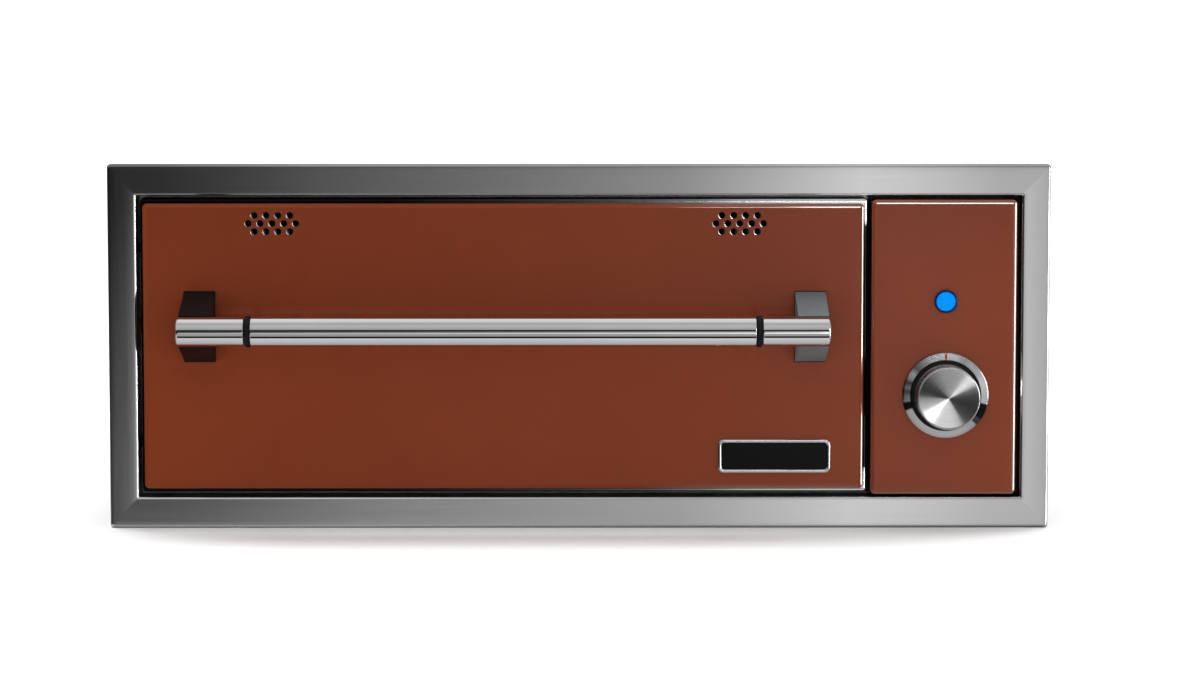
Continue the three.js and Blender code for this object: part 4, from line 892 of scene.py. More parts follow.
def chassis():
    X, Z, Yb, t = SHELL_X, SHELL_Z, SHELL_BACK, 0.9
    # sides and base are one folded sheet
    b = Build()
    slots = [rrect(90, 190, z, z + 4, 1.8, 3) for z in [30 + 10 * i for i in range(7)] + [-94 + 10 * i for i in range(7)]]
    def rnd(cy, cz, r=2.6):
        return circle(cy, cz, r, 16)
    base_r = 2.2
    for s in (-1, 1):
        holes = [rnd(8, 80), rnd(8, -80)] + (slots if s > 0 else [])
        holes += [rnd(y, z, 1.9) for y, z in ((240, -112), (400, -112), (520, 60), (520, -60))]
        sheet_panel(b, "x", s * X, rrect(0.3, Yb, -Z + base_r, 124.0, 0.6, 3), holes, -s * t)
    holes = [circle(x, y, 3.2, 20) for x, y in ((-300, 60), (300, 60), (-300, 500), (300, 500))] + [rrect(-120, 120, 250, 262, 5.9, 5), rrect(-120, 120, 300, 312, 5.9, 5)]
    sheet_panel(b, "z", -Z, rrect(-X + base_r, X - base_r, 0.3, Yb, 0.6, 3), holes[:4], t)
    # the two bends along the base
    for s in (-1, 1):
        arc = []
        for i in range(7):
            a = math.pi / 2 * i / 6
            arc.append((s * (X - base_r + base_r * math.sin(a)), -Z + base_r - base_r * math.cos(a)))
        inner = [(s * (X - base_r + (base_r - t) * math.sin(math.pi / 2 * i / 6)), -Z + base_r - (base_r - t) * math.cos(math.pi / 2 * i / 6)) for i in range(6, -1, -1)]
        sec = arc + inner
        b.loft([[(x, 0.3, z) for x, z in sec], [(x, Yb, z) for x, z in sec]])
    # top and rear return flanges
    for s in (-1, 1):
        x0, x1 = sorted((s * X, s * (X - 13)))
        b.rbox(x0, x1, 16, Yb, 123.1, 124.0, 0.3)
        b.rbox(x0, x1, Yb - t, Yb, -Z + 1, 123.9, 0.3)
    b.rbox(-X + 13.2, X - 13.2, Yb - t, Yb, -Z + 0.3, -Z + 13, 0.3)
    b.piece("chassis_folded_sheet", [M["galv"]], "housing", "galvanised", ["outer_shell"], angle=30)
    # pressed beads: along the left side and behind the slots on the right, and under the base
    b = Build()
    for z in (-62, 0, 62):
        bead(b, "x", -1, (60, z, 500, z), -X)
        bead(b, "x", 1, (232, z, 500, z), X)
    for y in (60, 500):
        bead(b, "z", -1, (-230, y, 230, y), -Z, 10, 1.0)
    for x in (-260, -130, 0, 130, 260):
        bead(b, "z", -1, (x, 110, x, 450), -Z, 10, 1.0)
    b.piece("chassis_beads", [M["galv"]], "housing", "galvanised", angle=60)

    # top cover: one sheet with a wide raised field and cross beads
    b = Build()
    nx, ny = 168, 128
    x0, x1, y0, y1 = -X, X, 0.3, Yb
    def smooth(v):
        v = max(0.0, min(1.0, v))
        return v * v * (3 - 2 * v)
    def rise(x, y):
        # distance inside a rounded rectangle, used as a soft step
        qx, qy = abs(x) - (X - 40) + 24, abs(y - (y0 + y1) / 2) - ((y1 - y0) / 2 - 40) + 24
        d = math.hypot(max(qx, 0), max(qy, 0)) + min(max(qx, qy), 0) - 24
        h = -1.0 * smooth(-d / 7)
        if -d > 22:
            for cx in (-240, -120, 0, 120, 240):
                dx = abs(x - cx)
                run = smooth((200 - abs(y - 278)) / 10 + 1) if dx < 8 else 0
                h += 0.95 * smooth((7.5 - dx) / 5) * run
        return h
    xs = [x0 + (x1 - x0) * i / nx for i in range(nx + 1)]
    ys = [y0 + (y1 - y0) * j / ny for j in range(ny + 1)]
    top = [(x, y, 125.2 + rise(x, y)) for y in ys for x in xs]
    low = [(x, y, 124.3 + rise(x, y)) for y in ys for x in xs]
    w = nx + 1
    faces = [(j * w + i, j * w + i + 1, (j + 1) * w + i + 1, (j + 1) * w + i) for j in range(ny) for i in range(nx)]
    k = len(top)
    faces += [tuple(q + k for q in f)[::-1] for f in faces]
    rim = [i for i in range(nx)] + [j * w + nx for j in range(ny)] + [ny * w + i for i in range(nx, 0, -1)] + [j * w for j in range(ny, 0, -1)]
    faces += [(rim[i], rim[i] + k, rim[(i + 1) % len(rim)] + k, rim[(i + 1) % len(rim)]) for i in range(len(rim))]
    b.add(top + low, faces)
    b.piece("top_cover_pressed", [M["galv"]], "housing", "galvanised", ["top_cover"], angle=50, weighted=False)

    # rear cover: pressed field, louvres over the slots, hole for the gland
    b = Build()
    yo = 557.9
    louvres = [(262, 338, 20 + 12 * i, 25 + 12 * i) for i in range(6)]
    sheet_panel(b, "y", yo, rrect(-X, X, -Z, 125.2, 1.0, 3), [circle(300, -90, 11.3, 40)] + [rrect(*l, 1.0, 2) for l in louvres], -0.9)
    for l in louvres:
        # quarter-round hood over each slot, open downwards
        hx0, hx1, z0, z1 = l[0] - 1, l[1] + 1, l[2] - 0.6, l[3] + 2.4
        sec = []
        for i in range(9):
            a = math.pi / 2 * i / 8
            sec.append((yo - 0.2 + 3.4 * math.cos(a), z0 + (z1 - z0) * math.sin(a)))
        inner = [(y - 0.7 * math.cos(math.pi / 2 * i / 8), z - 0.7 * math.sin(math.pi / 2 * i / 8)) for i, (y, z) in enumerate(sec)][::-1]
        body = sec + inner
        b.loft([[(hx0, y, z) for y, z in body], [(hx1, y, z) for y, z in body]])
        for hx in (hx0, hx1):
            fan = [(hx + q, y, z) for q in (-0.35, 0.35) for y, z in [(yo - 0.2, z0)] + sec]
            m = len(sec) + 1
            b.add(fan, [tuple(range(m))[::-1], tuple(range(m, 2 * m))] + [(i, (i + 1) % m, (i + 1) % m + m, i + m) for i in range(m)])
    b.piece("rear_cover_sheet", [M["galv"]], "housing", "galvanised", ["rear_cover"], angle=35)
    b = Build()
    for x0_, z0_, x1_, z1_ in ((-320, 96, 220, 96), (-320, -96, 220, -96), (-330, -84, -330, 84), (230, -84, 230, 84), (-290, -55, 190, 55), (-290, 55, 190, -55)):
        bead(b, "y", 1, (x0_, z0_, x1_, z1_), yo, 10, 1.2)
    b.piece("rear_cover_beads", [M["galv"]], "housing", "galvanised", angle=60)

    # screws that hold the covers
    b = Build()
    k = 0
    for x in (-345, -230, -115, 0, 115, 230, 345):
        for z in (-116, 117):
            screw(b, "y", 1, (x, z), yo, 3.6, 2.2, 0.4 * k)
            k += 1
    for z in (-58, 0, 58):
        for x in (-352.5, 352.5):
            screw(b, "y", 1, (x, z), yo, 3.6, 2.2, 0.7 * k)
            k += 1
    for y in (40, 160, 280, 400, 520):
        for x in (-352.5, 352.5):
            screw(b, "z", 1, (x, y), 125.2, 3.6, 1.5, 0.5 * k)
            k += 1
    for y, z in ((30, -112), (160, -112), (330, -112), (520, -112), (30, 112), (330, 112), (520, 112)):
        for s in (-1, 1):
            screw(b, "x", s, (y, z), s * X, 3.4, 2.0, 0.9 * k)
            k += 1
    b.piece("cover_screws", [M["zinc"]], "housing", "liner_steel", angle=35)

    # gland in the rear cover
    b = Build()
    g = [(6.0, 549.0), (6.0, 556), (6.2, 560.2), (7.0, 562.2), (8.6, 563.3), (10.4, 563.2), (12.6, 562.5), (14.3, 561.6), (15.3, 560.4), (15.6, 559.2), (15.4, 558.0), (14.4, 557.95), (11.2, 557.95), (10.9, 556.9), (11.4, 555.8), (10.9, 554.5), (10.9, 549.0)]
    b.lathe(g, "y", (300, -90), 64, closed=True)
    b.piece("cord_bushing_moulded", [M["black"]], "housing", "black_plastic", ["cord_bushing"], angle=60)


chassis()


# ---- drawer front, inside ------------------------------------------------------------------------
def front_liner():
    b = Build()
    yf, yb = -11.0, 10.0
    prof = [(10.0, -10.0), (10.0, -10.9), (9.7, yf), (3.4, yf), (2.4, yf + 0.1), (1.5, yf + 0.45), (0.75, yf + 1.05), (0.25, yf + 1.9), (0.03, yf + 2.9), (0.0, yf + 3.8), (0.0, yb - 2.4), (0.1, yb - 1.3), (0.5, yb - 0.5), (1.2, yb - 0.1), (2.4, yb)]
    loops = [[(x, y, z) for x, z in rrect(*grow(LINER, -d), max(2.8 - 0.6 * d, 0.5) if d < 4 else 1.2, 5)] for d, y in prof]
    b.loft(loops, caps=(False, False))
    slots = [rrect(x + i * VENT_PITCH - 2.2, x + i * VENT_PITCH + 2.2, VENT_Z - 7.5, VENT_Z + 7.5, 1.6, 3) for x in VENT_X for i in (-2, -1, 0, 1, 2)]
    holes = slots + [circle(x, BAR_Z, 2.8, 16) for x in screw_x]
    outline = [(x, z) for x, _, z in loops[-1]]
    b.fill([outline] + holes, lambda a, c: (a, yb, c), flip=True)
    for h in holes:
        b.loft([[(a, yb, c) for a, c in h], [(a, yb - 1, c) for a, c in h]], caps=(False, False))
    inner = [(2.6, yb - 1.0), (1.2, yb - 2.2), (1.2, yf + 3.8), (3.4, yf + 1.0), (10.0, yf + 1.0)]
    il = [[(x, y, z) for x, z in rrect(*grow(LINER, -d), max(2.4 - 0.6 * d, 0.5) if d < 4 else 1.2, 5)] for d, y in inner]
    b.loft(il, caps=(False, False))
    b.fill([[(x, z) for x, _, z in il[0]]] + holes, lambda a, c: (a, yb - 1, c))
    # guides of the vent slider
    for z0, z1, q0, q1 in ((87, 89, 87, 90.5), (111, 112.8, 109.5, 112.8)):
        b.rbox(-300, 182, yb - 0.3, 12.4, z0, z1, 0.3)
        b.rbox(-300, 182, 11.6, 12.4, q0, q1, 0.3)
    # the rolled front edge is polished, its steel toned near black on the left and light on the right (painted shade
    # and highlight); the walls behind it are satin
    b.m = [0 if sum(b.v[j][1] for j in f) / len(f) < yf + 2.6 else 1 for f in b.f]
    # the strip at the right end takes the steel painted near black between its bright ends (painted shade)
    for i, f in enumerate(b.f):
        if b.m[i] == 0 and sum(b.v[j][0] for j in f) / len(f) > PANEL[1] - 4:
            b.m[i] = 2
    b.piece("drawer_front_tray", [M["tray"], M["liner"], M["tray_side"]], "drawer", "liner_steel", ["drawer_front_liner"], angle=30)
    # black ducts between the vent holes and the slots; their black makes the holes read as shade (painted shade)
    b = Build()
    for x in VENT_X:
        o, i = (x - 26.9, x + 26.9, VENT_Z - 11.9, VENT_Z + 11.9), (x - 26.2, x + 26.2, VENT_Z - 11.2, VENT_Z + 11.2)
        duct = [(o, -12.7), (o, yb - 1.15), (i, yb - 1.15), (i, -12.7)]
        b.loft([[(p, y, q) for p, q in rrect(*r, 1.5, 3)] for r, y in duct], ring=True)
        bars = [x + k * VENT_PITCH for k in (-2.5, -1.5, -0.5, 0.5, 1.5, 2.5)]
        for c in bars:
            b.rbox(c - 2.6, c + 2.6, yb - 2.1, yb - 1.2, VENT_Z - 11.1, VENT_Z + 11.1, 0.15, 1)
    b.piece("vent_ducts", [M["dark"]], "drawer", "black_plastic", angle=50)
    # pressed beads across the back
    b = Build()
    for z in (-60, -20):
        bead(b, "y", 1, (-300, z, 180, z), yb, 10, 0.9)
    b.piece("drawer_front_tray_beads", [M["liner"]], "drawer", "liner_steel", angle=60)
    b = Build()
    for x in (-335, 215):
        for z in (-95, 40):
            screw(b, "y", 1, (x, z), yb, 3.0, 1.6, 0.6)
    for x in (-190, 70):
        screw(b, "y", 1, (x, -100), yb, 3.0, 1.6, 0.2)
    b.piece("drawer_front_tray_screws", [M["zinc"]], "drawer", "liner_steel", angle=35)
    # bulb gasket
    b = Build()
    rect = (-353.0, 231.8, -117.6, 119.6)
    sec = []
    for i in range(16):
        a = TAU * i / 16
        sec.append((3.0 - 2.9 * math.cos(a), 13.0 + (1.95 if math.sin(a) > 0 else 2.6) * math.sin(a)))
    b.loft([[(x, y, z) for x, z in rrect(*grow(rect, -d), max(8 - d, 1), 6)] for d, y in sec], ring=True)
    b.piece("drawer_gasket_bulb", [M["gasket"]], "drawer", "gasket", ["drawer_gasket"], angle=80)


front_liner()


# ---- pan, rack, frame, slides ------------------------------------------------------------------------
PX0, PX1, PY0, PY1, PZ0 = -314.4, 194.4, 25.5, 486.0, -80.0


def pan():
    b = Build()
    def loop(d, z, r):  # d: distance outside the pan's outer wall
        return [(x, y, z) for x, y in rrect(PX0 - d, PX1 + d, PY0 - d, PY1 + d, r, 10)]
    top = 73.3
    prof = []
    # outside, from the bottom up
    prof += [(-26, PZ0, 6), (-9.0, PZ0, 18)]
    for i in range(1, 7):
        a = math.pi / 2 * i / 6
        prof.append((-9.0 + 9.0 * math.sin(a), PZ0 + 9.0 - 9.0 * math.cos(a), 18 + 8 * i / 6))
    prof += [(0, 30, 26), (0, top - 3.0, 26), (0.4, top - 1.6, 26), (1.6, top - 1.0, 26), (8.4, top - 1.0, 24), (9.0, top - 1.4, 22.6), (9.3, top - 2.2, 22)]
    # rolled rim, then the inside, from the top down
    prof += [(9.9, top - 2.3, 22), (10.5, top - 1.8, 21.6), (10.4, top - 0.9, 21.6), (9.8, top - 0.25, 22), (8.6, top, 23), (1.4, top, 26), (-0.3, top - 0.5, 26), (-1.0, top - 2.0, 25), (-1.0, 30, 25), (-1.0, PZ0 + 9.0, 25)]
    for i in range(5, -1, -1):
        a = math.pi / 2 * i / 6
        prof.append((-9.0 + 8.0 * math.sin(a), PZ0 + 9.0 - 8.0 * math.cos(a), 17.5 + 7.5 * i / 6))
    prof += [(-24, PZ0 + 1.0, 6), (-40, PZ0 + 1.9, 5), (-60, PZ0 + 1.6, 5), (-150, PZ0 + 1.15, 5)]
    b.loft([loop(d, z, r) for d, z, r in prof])
    b.piece("drawer_pan_drawn", [M["liner_y"]], "pan", "liner_steel", ["drawer_pan"], angle=50)
    b = Build()
    for x in (-250, -190, -130, -70, -10, 50, 110):
        bead(b, "z", 1, (x + 20, 120, x + 20, 395), PZ0 + 1.1, 12, 1.0)
    b.piece("drawer_pan_beads", [M["liner_y"]], "pan", "liner_steel", angle=60)


def rack():
    rx0, rx1, ry0, ry1, rz, foot = -296.0, 176.0, 240.0, 450.0, -20.0, -78.7
    b = Build()
    loop = []
    for x, y in rrect(rx0, rx1, ry0, ry1, 9, 6):
        loop.append((x, y, rz))
    # more points on the straights keep the tube even
    def dense(pts, step=40):
        out = []
        for p, q in zip(pts, pts[1:] + pts[:1]):
            n = max(1, int(math.dist(p, q) / step))
            out += [tuple(p[i] + (q[i] - p[i]) * k / n for i in range(3)) for k in range(n)]
        return out
    b.tube(dense(loop), 2.4, 14, ring=True)
    b.tube([(rx0 + 0.5, (ry0 + ry1) / 2, rz - 1.8), (rx1 - 0.5, (ry0 + ry1) / 2, rz - 1.8)], 2.0, 12)
    n = 14
    for i in range(1, n):
        x = rx0 + (rx1 - rx0) * i / n
        b.tube([(x, ry0 - 0.6, rz + 0.9), (x, ry0 + 2, rz + 1.6), (x, ry0 + 8, rz + 0.9), (x, (ry0 + ry1) / 2, rz + 0.9), (x, ry1 - 8, rz + 0.9), (x, ry1 - 2, rz + 1.6), (x, ry1 + 0.6, rz + 0.9)], 1.6, 10)
    # each side: one wire that goes down, along the floor of the pan and up again
    for x in (rx0, rx1):
        ya, yb, zf, r = ry0 + 30, ry1 - 30, foot + 2.4, 10.0
        pts = [(x, ya, rz - 0.5)] + [(x, ya, rz - 6)]
        pts += [(x, ya, zf + r + 4)]
        pts += [(x, ya + r - r * math.cos(t), zf + r - r * math.sin(t)) for t in [math.pi / 2 * i / 6 for i in range(7)]]
        pts += [(x, (ya + yb) / 2, zf)]
        pts += [(x, yb - r + r * math.sin(t), zf + r - r * math.cos(t)) for t in [math.pi / 2 * i / 6 for i in range(7)]]
        pts += [(x, yb, zf + r + 4), (x, yb, rz - 6), (x, yb, rz - 0.5)]
        b.tube(pts, 2.4, 14)
    b.piece("wire_rack_chromed", [M["chrome"]], "rack", "polished_steel", ["wire_rack", "rack_leg_left", "rack_leg_right"], angle=60, weighted=False)


def slides():
    for side, s in (("left", 1), ("right", -1)):
        wall = CAV[0] + 0.3 if s > 0 else CAV[1] - 0.3
        def X(u):
            return wall + s * u
        # ball cages and balls between the members, carried by the middle member
        b = Build()
        for zc, u, y0, y1 in ((20.3, 7.0, 275, 478), (15.95, 8.2, 42, 245)):
            for sz in (-1, 1):
                z = SLIDE_Z + sz * zc
                b.rbox(min(X(u - 2.2), X(u + 2.2)), max(X(u - 2.2), X(u + 2.2)), y0 - 4, y1 + 4, z - 0.35, z + 0.35, 0.2, 1, mat=1)
                y = y0
                while y <= y1:
                    prof = [(0.0, z - 1.4), (0.8, z - 1.15), (1.25, z - 0.6), (1.4, z), (1.25, z + 0.6), (0.8, z + 1.15), (0.0, z + 1.4)]
                    b.lathe(prof, "z", (X(u), y), 12, mat=0)
                    y += 11.5
        b.piece(f"slide_balls_{side}", [M["ball"], M["bronze"]], f"slide_member_{side}", "galvanised", angle=60, weighted=False)


pan()
rack()
slides()


# ---- heating element -------------------------------------------------------------------------------
def element():
    b = Build()
    z, r, R = -98.0, 3.6, 36.0
    corners = [(262, 480), (-320, 480), (-320, 90), (180, 90), (180, 440), (262, 440)]
    pts = []
    for i, (x, y) in enumerate(corners):
        if i in (0, len(corners) - 1):
            pts.append((x, y, z))
            continue
        p, c, q = Vector(corners[i - 1]), Vector((x, y)), Vector(corners[i + 1])
        a = c + (p - c).normalized() * R
        d = c + (q - c).normalized() * R
        o = a + d - c
        t0 = math.atan2(a.y - o.y, a.x - o.x)
        t1 = math.atan2(d.y - o.y, d.x - o.x)
        while t1 - t0 > math.pi:
            t1 -= TAU
        while t1 - t0 < -math.pi:
            t1 += TAU
        for k in range(11):
            t = t0 + (t1 - t0) * k / 10
            pts.append((o.x + R * math.cos(t), o.y + R * math.sin(t), z))
    b.tube(pts, r, 16)
    b.piece("heating_element_sheath", [M["element"]], "housing", "element_sheath", ["heating_element"], angle=60, weighted=False)


element()


# ---- CAD nodes that stay: finer edges and a material -------------------------------------------------
def keep(node, material, round_mm=0.3, seg=2):
    ob = NODES[node]
    ob.data.materials.clear()
    ob.data.materials.append(material)
    weld = ob.modifiers.new("weld", "WELD")
    weld.merge_threshold = 0.000005
    if round_mm:
        bev = ob.modifiers.new("round", "BEVEL")
        bev.width, bev.segments = round_mm * MM, seg
        bev.limit_method, bev.angle_limit = "ANGLE", math.radians(40)
        bev.use_clamp_overlap = True
    return ob


for node, material, r in (
    # the trim screws sit in the shaded gap beside the control panel; their near-black oxide is their finish and also a
    # painted shade
    ("trim_screw_1", "oxide_and_shade", 0.3), ("trim_screw_2", "oxide_and_shade", 0.3), ("trim_screw_3", "oxide_and_shade", 0.3), ("trim_screw_4", "oxide_and_shade", 0.3),
    # the cavity liner takes the steel painted near black at its flange beside the control panel (painted shade)
    ("control_partition", "galv", 0.15), ("cavity_liner", "cavity", 0.25), ("insulation_wrap", "wool", 0), ("insulation_rear", "wool", 0.8),
    ("element_bracket_front", "zinc", 0.2), ("element_bracket_left", "zinc", 0.2), ("element_guard", "liner", 0.2),
    ("slide_outer_left", "zinc", 0.25), ("slide_outer_right", "zinc", 0.25), ("slide_middle_left", "zinc", 0.25), ("slide_middle_right", "zinc", 0.25),
    ("slide_inner_left", "zinc", 0.25), ("slide_inner_right", "zinc", 0.25),
    ("drawer_front_insulation", "wool", 0.4), ("vent_slider", "liner", 0.15), ("handle_screw_left", "zinc", 0.3), ("handle_screw_right", "zinc", 0.3),
    ("drawer_frame", "liner", 0.3), ("control_bracket", "galv", 0.25), ("pilot_lamp_body", "black", 0.2), ("thermostat_body", "ceramic", 0.3),
    ("sensor_bulb", "brass", 0), ("sensor_clip", "liner", 0.2), ("over_temperature_limiter", "black", 0.2), ("terminal_block", "ceramic", 0.5),
    ("wiring_loom", "wire", 0), ("lamp_lead", "wire", 0), ("thermostat_shaft", "zinc", 0.2),
):
    keep(node, M[material], r)


# ---- stage: floor, light, camera ---------------------------------------------------------------------
def stage():
    scene = bpy.context.scene
    # floor
    size, z = 14.0, -0.1477
    mesh = bpy.data.meshes.new("floor")
    mesh.from_pydata([(-size, -size, z), (size, -size, z), (size, size, z), (-size, size, z)], [], [(0, 1, 2, 3)])
    floor = bpy.data.objects.new("floor", mesh)
    scene.collection.objects.link(floor)
    m, t, p = new_material("pale_floor")
    p.inputs["Base Color"].default_value = (0.9, 0.9, 0.9, 1)
    p.inputs["Roughness"].default_value = 1.0
    p.inputs["Specular IOR Level"].default_value = 0.0
    away = nd(t, "VectorMath", {"operation": "DISTANCE"})
    away.inputs[1].default_value = (0.0, 0.1, z)
    put(t, nd(t, "TexCoord").outputs["Object"], away.inputs[0])
    p.inputs["Emission Color"].default_value = (1, 1, 1, 1)
    put(t, ranged(t, away.outputs["Value"], 0.0, 0.7, 0.75, 2.2), p.inputs["Emission Strength"])
    mesh.materials.append(m)
    floor.visible_glossy = False

    # studio: plain white to the camera and to matt surfaces, soft boxes and dark flags to the polished ones
    world = bpy.data.worlds.new("studio")
    scene.world = world
    world.use_nodes = True
    t = world.node_tree
    t.nodes.clear()
    out = t.nodes.new("ShaderNodeOutputWorld")
    tc = nd(t, "TexCoord")
    sep = nd(t, "SeparateXYZ")
    put(t, tc.outputs["Generated"], sep.inputs[0])
    def math_node(op, a, b=None, c=None):
        n = nd(t, "Math", {"operation": op})
        for i, v in enumerate((a, b, c)):
            if v is None:
                continue
            if isinstance(v, (int, float)):
                n.inputs[i].default_value = v
            else:
                put(t, v, n.inputs[i])
        return n.outputs[0]
    X, Y, Z = sep.outputs[0], sep.outputs[1], sep.outputs[2]
    elev = math_node("ARCTAN2", Z, math_node("MULTIPLY", Y, -1.0))
    pos = math_node("MULTIPLY_ADD", elev, 1 / TAU, 0.5)
    def ramp(value, stops, lo, hi):
        r = t.nodes.new("ShaderNodeValToRGB")
        r.color_ramp.interpolation = "LINEAR"
        el = r.color_ramp.elements
        while len(el) > 1:
            el.remove(el[-1])
        top = max(v for _, v in stops)
        for i, (q, v) in enumerate(stops):
            e = el[0] if i == 0 else el.new((q - lo) / (hi - lo))
            e.position = (q - lo) / (hi - lo)
            e.color = (v / top, v / top, v / top, 1)
        put(t, value, r.inputs[0])
        s = nd(t, "SeparateColor")
        put(t, r.outputs[0], s.inputs[0])
        return math_node("MULTIPLY", s.outputs[0], float(top))
    around = ramp(pos, [(-180, 0.40), (-164, 0.38), (-152, 0.06), (-130, 0.06), (-110, 0.38), (-97, 0.53), (-57, 0.72), (-50, 0.78), (-47.5, 0.5), (-46, 0.0), (-34, 0.0), (-31.5, 0.4),
                        (-16, 0.40), (-9.6, 0.44), (-2.2, 0.6), (3.5, 0.3), (5.0, 0.0), (15.5, 0.0), (17.5, 0.3), (20, 0.44), (30, 0.5), (36.5, 0.56), (52, 0.58),
                        (69, 0.46), (78, 0.7), (89, 0.8), (112, 0.92), (122, 0.5), (135, 0.08), (149, 0.06), (160, 0.36), (180, 0.40)], -180, 180)
    flat = ramp(math_node("MULTIPLY_ADD", X, 0.5, 0.5), [(-1, 0.03), (-0.3, 0.03), (-0.15, 0.045), (-0.1, 0.09), (-0.05, 0.23), (0.0, 0.37), (0.04, 0.56), (0.065, 0.78), (0.09, 1.12), (0.105, 1.0),
                        (0.125, 0.62), (0.14, 0.70), (0.2, 0.7), (0.3, 0.5), (0.6, 0.4), (1, 0.4)], -1, 1)
    # a window just under the horizon, which the flat faces mirror, grows lighter from left to right
    def step(value, a, b):
        n = nd(t, "MapRange", {"interpolation_type": "SMOOTHSTEP"})
        n.inputs["From Min"].default_value, n.inputs["From Max"].default_value = a, b
        put(t, value, n.inputs["Value"])
        return n.outputs[0]
    window = math_node("MULTIPLY", math_node("MULTIPLY", step(Z, -0.27, -0.19), step(Z, 0.10, 0.03)), step(Y, 0.1, -0.3))
    value = math_node("ADD", math_node("MULTIPLY", around, math_node("SUBTRACT", 1.0, window)), math_node("MULTIPLY", flat, window))
    # left side dark, right side light
    azimuth = math_node("MULTIPLY_ADD", math_node("ARCTAN2", X, math_node("MULTIPLY", Y, -1.0)), 1 / TAU, 0.5)
    side = step(math_node("ABSOLUTE", X), 0.34, 0.58)
    sides = ramp(azimuth, [(-180, 0.3), (-130, 0.3), (-100, 0.1), (-85, 0.03), (-50, 0.02), (-25, 0.04), (0, 0.4), (22, 0.5), (30, 0.34), (42, 0.34), (52, 0.8), (72, 1.4), (86, 1.0), (98, 0.45), (130, 0.4), (180, 0.3)], -180, 180)
    # and the lower right stays dark
    low = math_node("MULTIPLY", step(Z, -0.02, -0.22), step(Y, 0.2, -0.2))
    sides = math_node("MULTIPLY", sides, math_node("SUBTRACT", 1.0, math_node("MULTIPLY", low, 0.85)))
    # well above and well below the horizon the sides are an even light grey
    away = step(math_node("ABSOLUTE", Z), 0.16, 0.28)
    sides = math_node("ADD", math_node("MULTIPLY", sides, math_node("SUBTRACT", 1.0, away)), math_node("MULTIPLY", away, 0.55))
    final = math_node("ADD", math_node("MULTIPLY", value, math_node("SUBTRACT", 1.0, side)), math_node("MULTIPLY", sides, side))
    lp = nd(t, "LightPath")
    studio = nd(t, "Background")
    put(t, final, studio.inputs["Strength"])
    studio.inputs["Color"].default_value = (1, 1, 1, 1)
    white = nd(t, "Background")
    white.inputs["Color"].default_value = (1, 1, 1, 1)
    put(t, ranged(t, lp.outputs["Is Camera Ray"], 0.7, 1.2, 0.0, 1.0), white.inputs["Strength"])
    mix = nd(t, "MixShader")
    put(t, lp.outputs["Is Glossy Ray"], mix.inputs[0])
    put(t, white.outputs[0], mix.inputs[1])
    put(t, studio.outputs[0], mix.inputs[2])
    put(t, mix.outputs[0], out.inputs[0])

    def area(name, place, aim, sx, sy, power, glossy=True, diffuse=True, only=()):
        d = bpy.data.lights.new(name, "AREA")
        d.shape, d.size, d.size_y, d.energy = "RECTANGLE", sx, sy, power
        o = bpy.data.objects.new(name, d)
        o.location = place
        o.rotation_euler = (Vector(aim) - Vector(place)).to_track_quat("-Z", "Y").to_euler()
        o.visible_camera = False
        o.visible_glossy = glossy
        o.visible_diffuse = diffuse
        scene.collection.objects.link(o)
        if only:
            group = bpy.data.collections.new(name + "_lights")
            for piece in only:
                group.objects.link(bpy.data.objects[piece])
            o.light_linking.receiver_collection = group
        return o
    # soft key from above and in front, a wide box overhead and a little behind, which keeps the shadow on the floor short,
    # and two lights from behind that clear the floor beside the body
    area("key", (0.35, -1.5, 2.6), (0, 0.0, 0), 2.4, 1.6, 4, glossy=False)
    area("overhead", (0.0, 0.40, 2.36), (0.0, -0.1, -0.14), 3.4, 1.1, 54, glossy=False)
    area("back_left", (-1.35, 1.15, 0.95), (-0.65, 0.15, -0.14), 0.9, 0.6, 12, glossy=False)
    area("back_right", (1.35, 1.15, 0.95), (0.65, 0.15, -0.14), 0.9, 0.6, 12, glossy=False)
    # slim upright box at the right, seen only in bends and edges of the front
    starts = ("trim_frame_steel", "drawer_front", "control_panel", "handle_", "knob_", "badge_", "pilot_lamp_")
    front = [o.name for o in bpy.data.objects if o.type == "MESH" and o.name.startswith(starts)]
    area("edge_right", (1.34, -0.60, 0.0), (0.3, 0.0, 0.0), 0.10, 0.9, 8, diffuse=False, only=front)
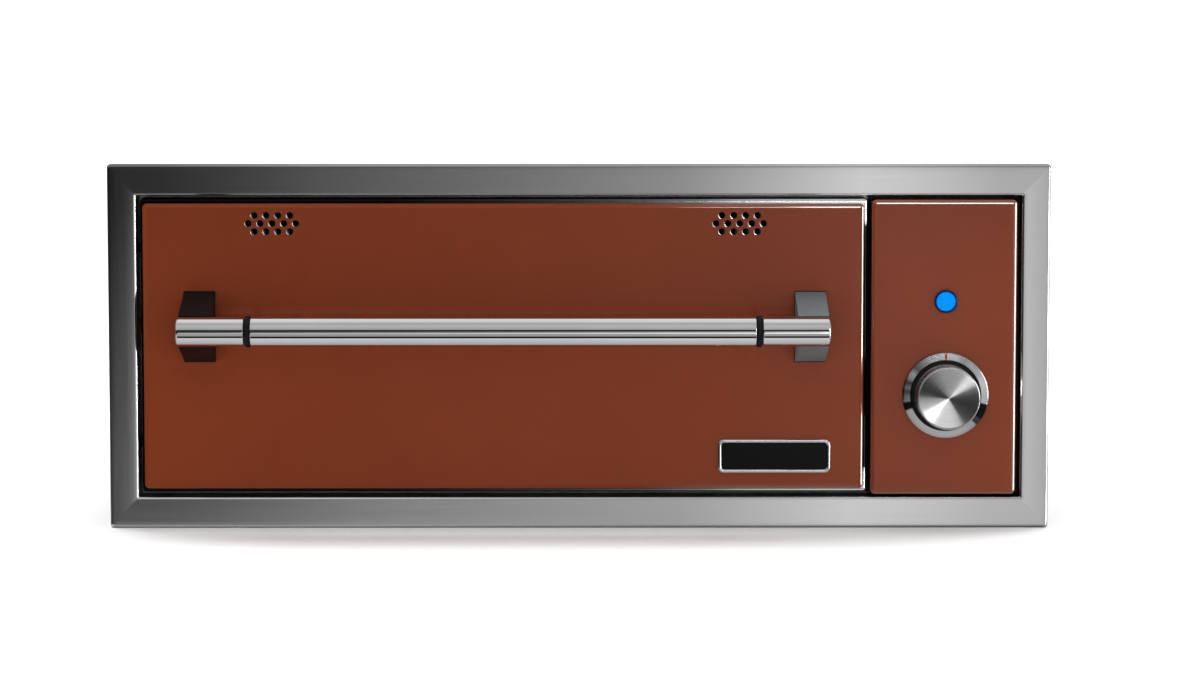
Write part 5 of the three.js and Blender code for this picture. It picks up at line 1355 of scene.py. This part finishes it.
    # long flat strip low over the front, for the line along the upper bends
    inner = [n for n in front if n != "trim_frame_steel" and not n.startswith("handle_")]
    area("edge_top", (0.72, -2.0, 0.45), (0.2, 0.0, 0.05), 1.2, 0.09, 3.4, diffuse=False, only=inner)
    # low strip in front of the bar, which draws the light line along its middle
    bar = [n for n in front if n.startswith(("handle_bar", "handle_ferrule"))]
    area("bar_line", (-0.075, -0.70, -0.088), (-0.075, -0.064, 0.0166), 0.70, 0.085, 0.09, diffuse=False, only=bar)
    # the painted sheets' folded edges catch a box above the right half and one at the right
    panels = ("drawer_front_enamel", "control_panel_enamel")
    area("fold_top", (0.50, -1.90, 0.60), (0.28, 0.0, 0.11), 0.42, 0.50, 6, diffuse=False, only=panels)
    area("fold_right", (1.42, -0.62, 0.0), (0.35, 0.0, 0.0), 0.8, 1.0, 22, diffuse=False, only=("control_panel_enamel",))
    area("fold_right_drawer", (1.42, -0.62, 0.0), (0.22, 0.0, 0.0), 0.35, 1.0, 24, diffuse=False, only=("drawer_front_enamel",))
    # soft box at the right front, which the brushed dial fans out
    area("box_right", (1.17, -1.18, 0.47), (0.29, 0.0, -0.04), 0.40, 0.34, 26, diffuse=False, only=("knob_face_brushed",))
    area("box_over", (0.46, -1.32, 0.72), (0.29, 0.0, -0.04), 1.0, 0.35, 9, diffuse=False, only=("knob_face_brushed",))
    area("box_bezel", (1.45, -1.15, 0.25), (0.29, 0.0, -0.04), 0.4, 0.5, 4, diffuse=False, only=("knob_bezel_steel", "knob_body_brushed"))

    # camera at the photograph's angle: a little above the middle, long lens
    cam_data = bpy.data.cameras.new("camera")
    cam = bpy.data.objects.new("camera", cam_data)
    scene.collection.objects.link(cam)
    place = Vector((0.0078, -2.912, 0.252))
    aim = Vector((0.0169, -0.012, 0.0075))
    cam.location = place
    cam.rotation_euler = (aim - place).to_track_quat("-Z", "Y").to_euler()
    cam_data.sensor_width = 36.0
    cam_data.lens = 107.85
    cam_data.clip_start, cam_data.clip_end = 0.05, 60
    scene.camera = cam
    scene.view_settings.view_transform = "Standard"
    scene.view_settings.look = "None"


stage()
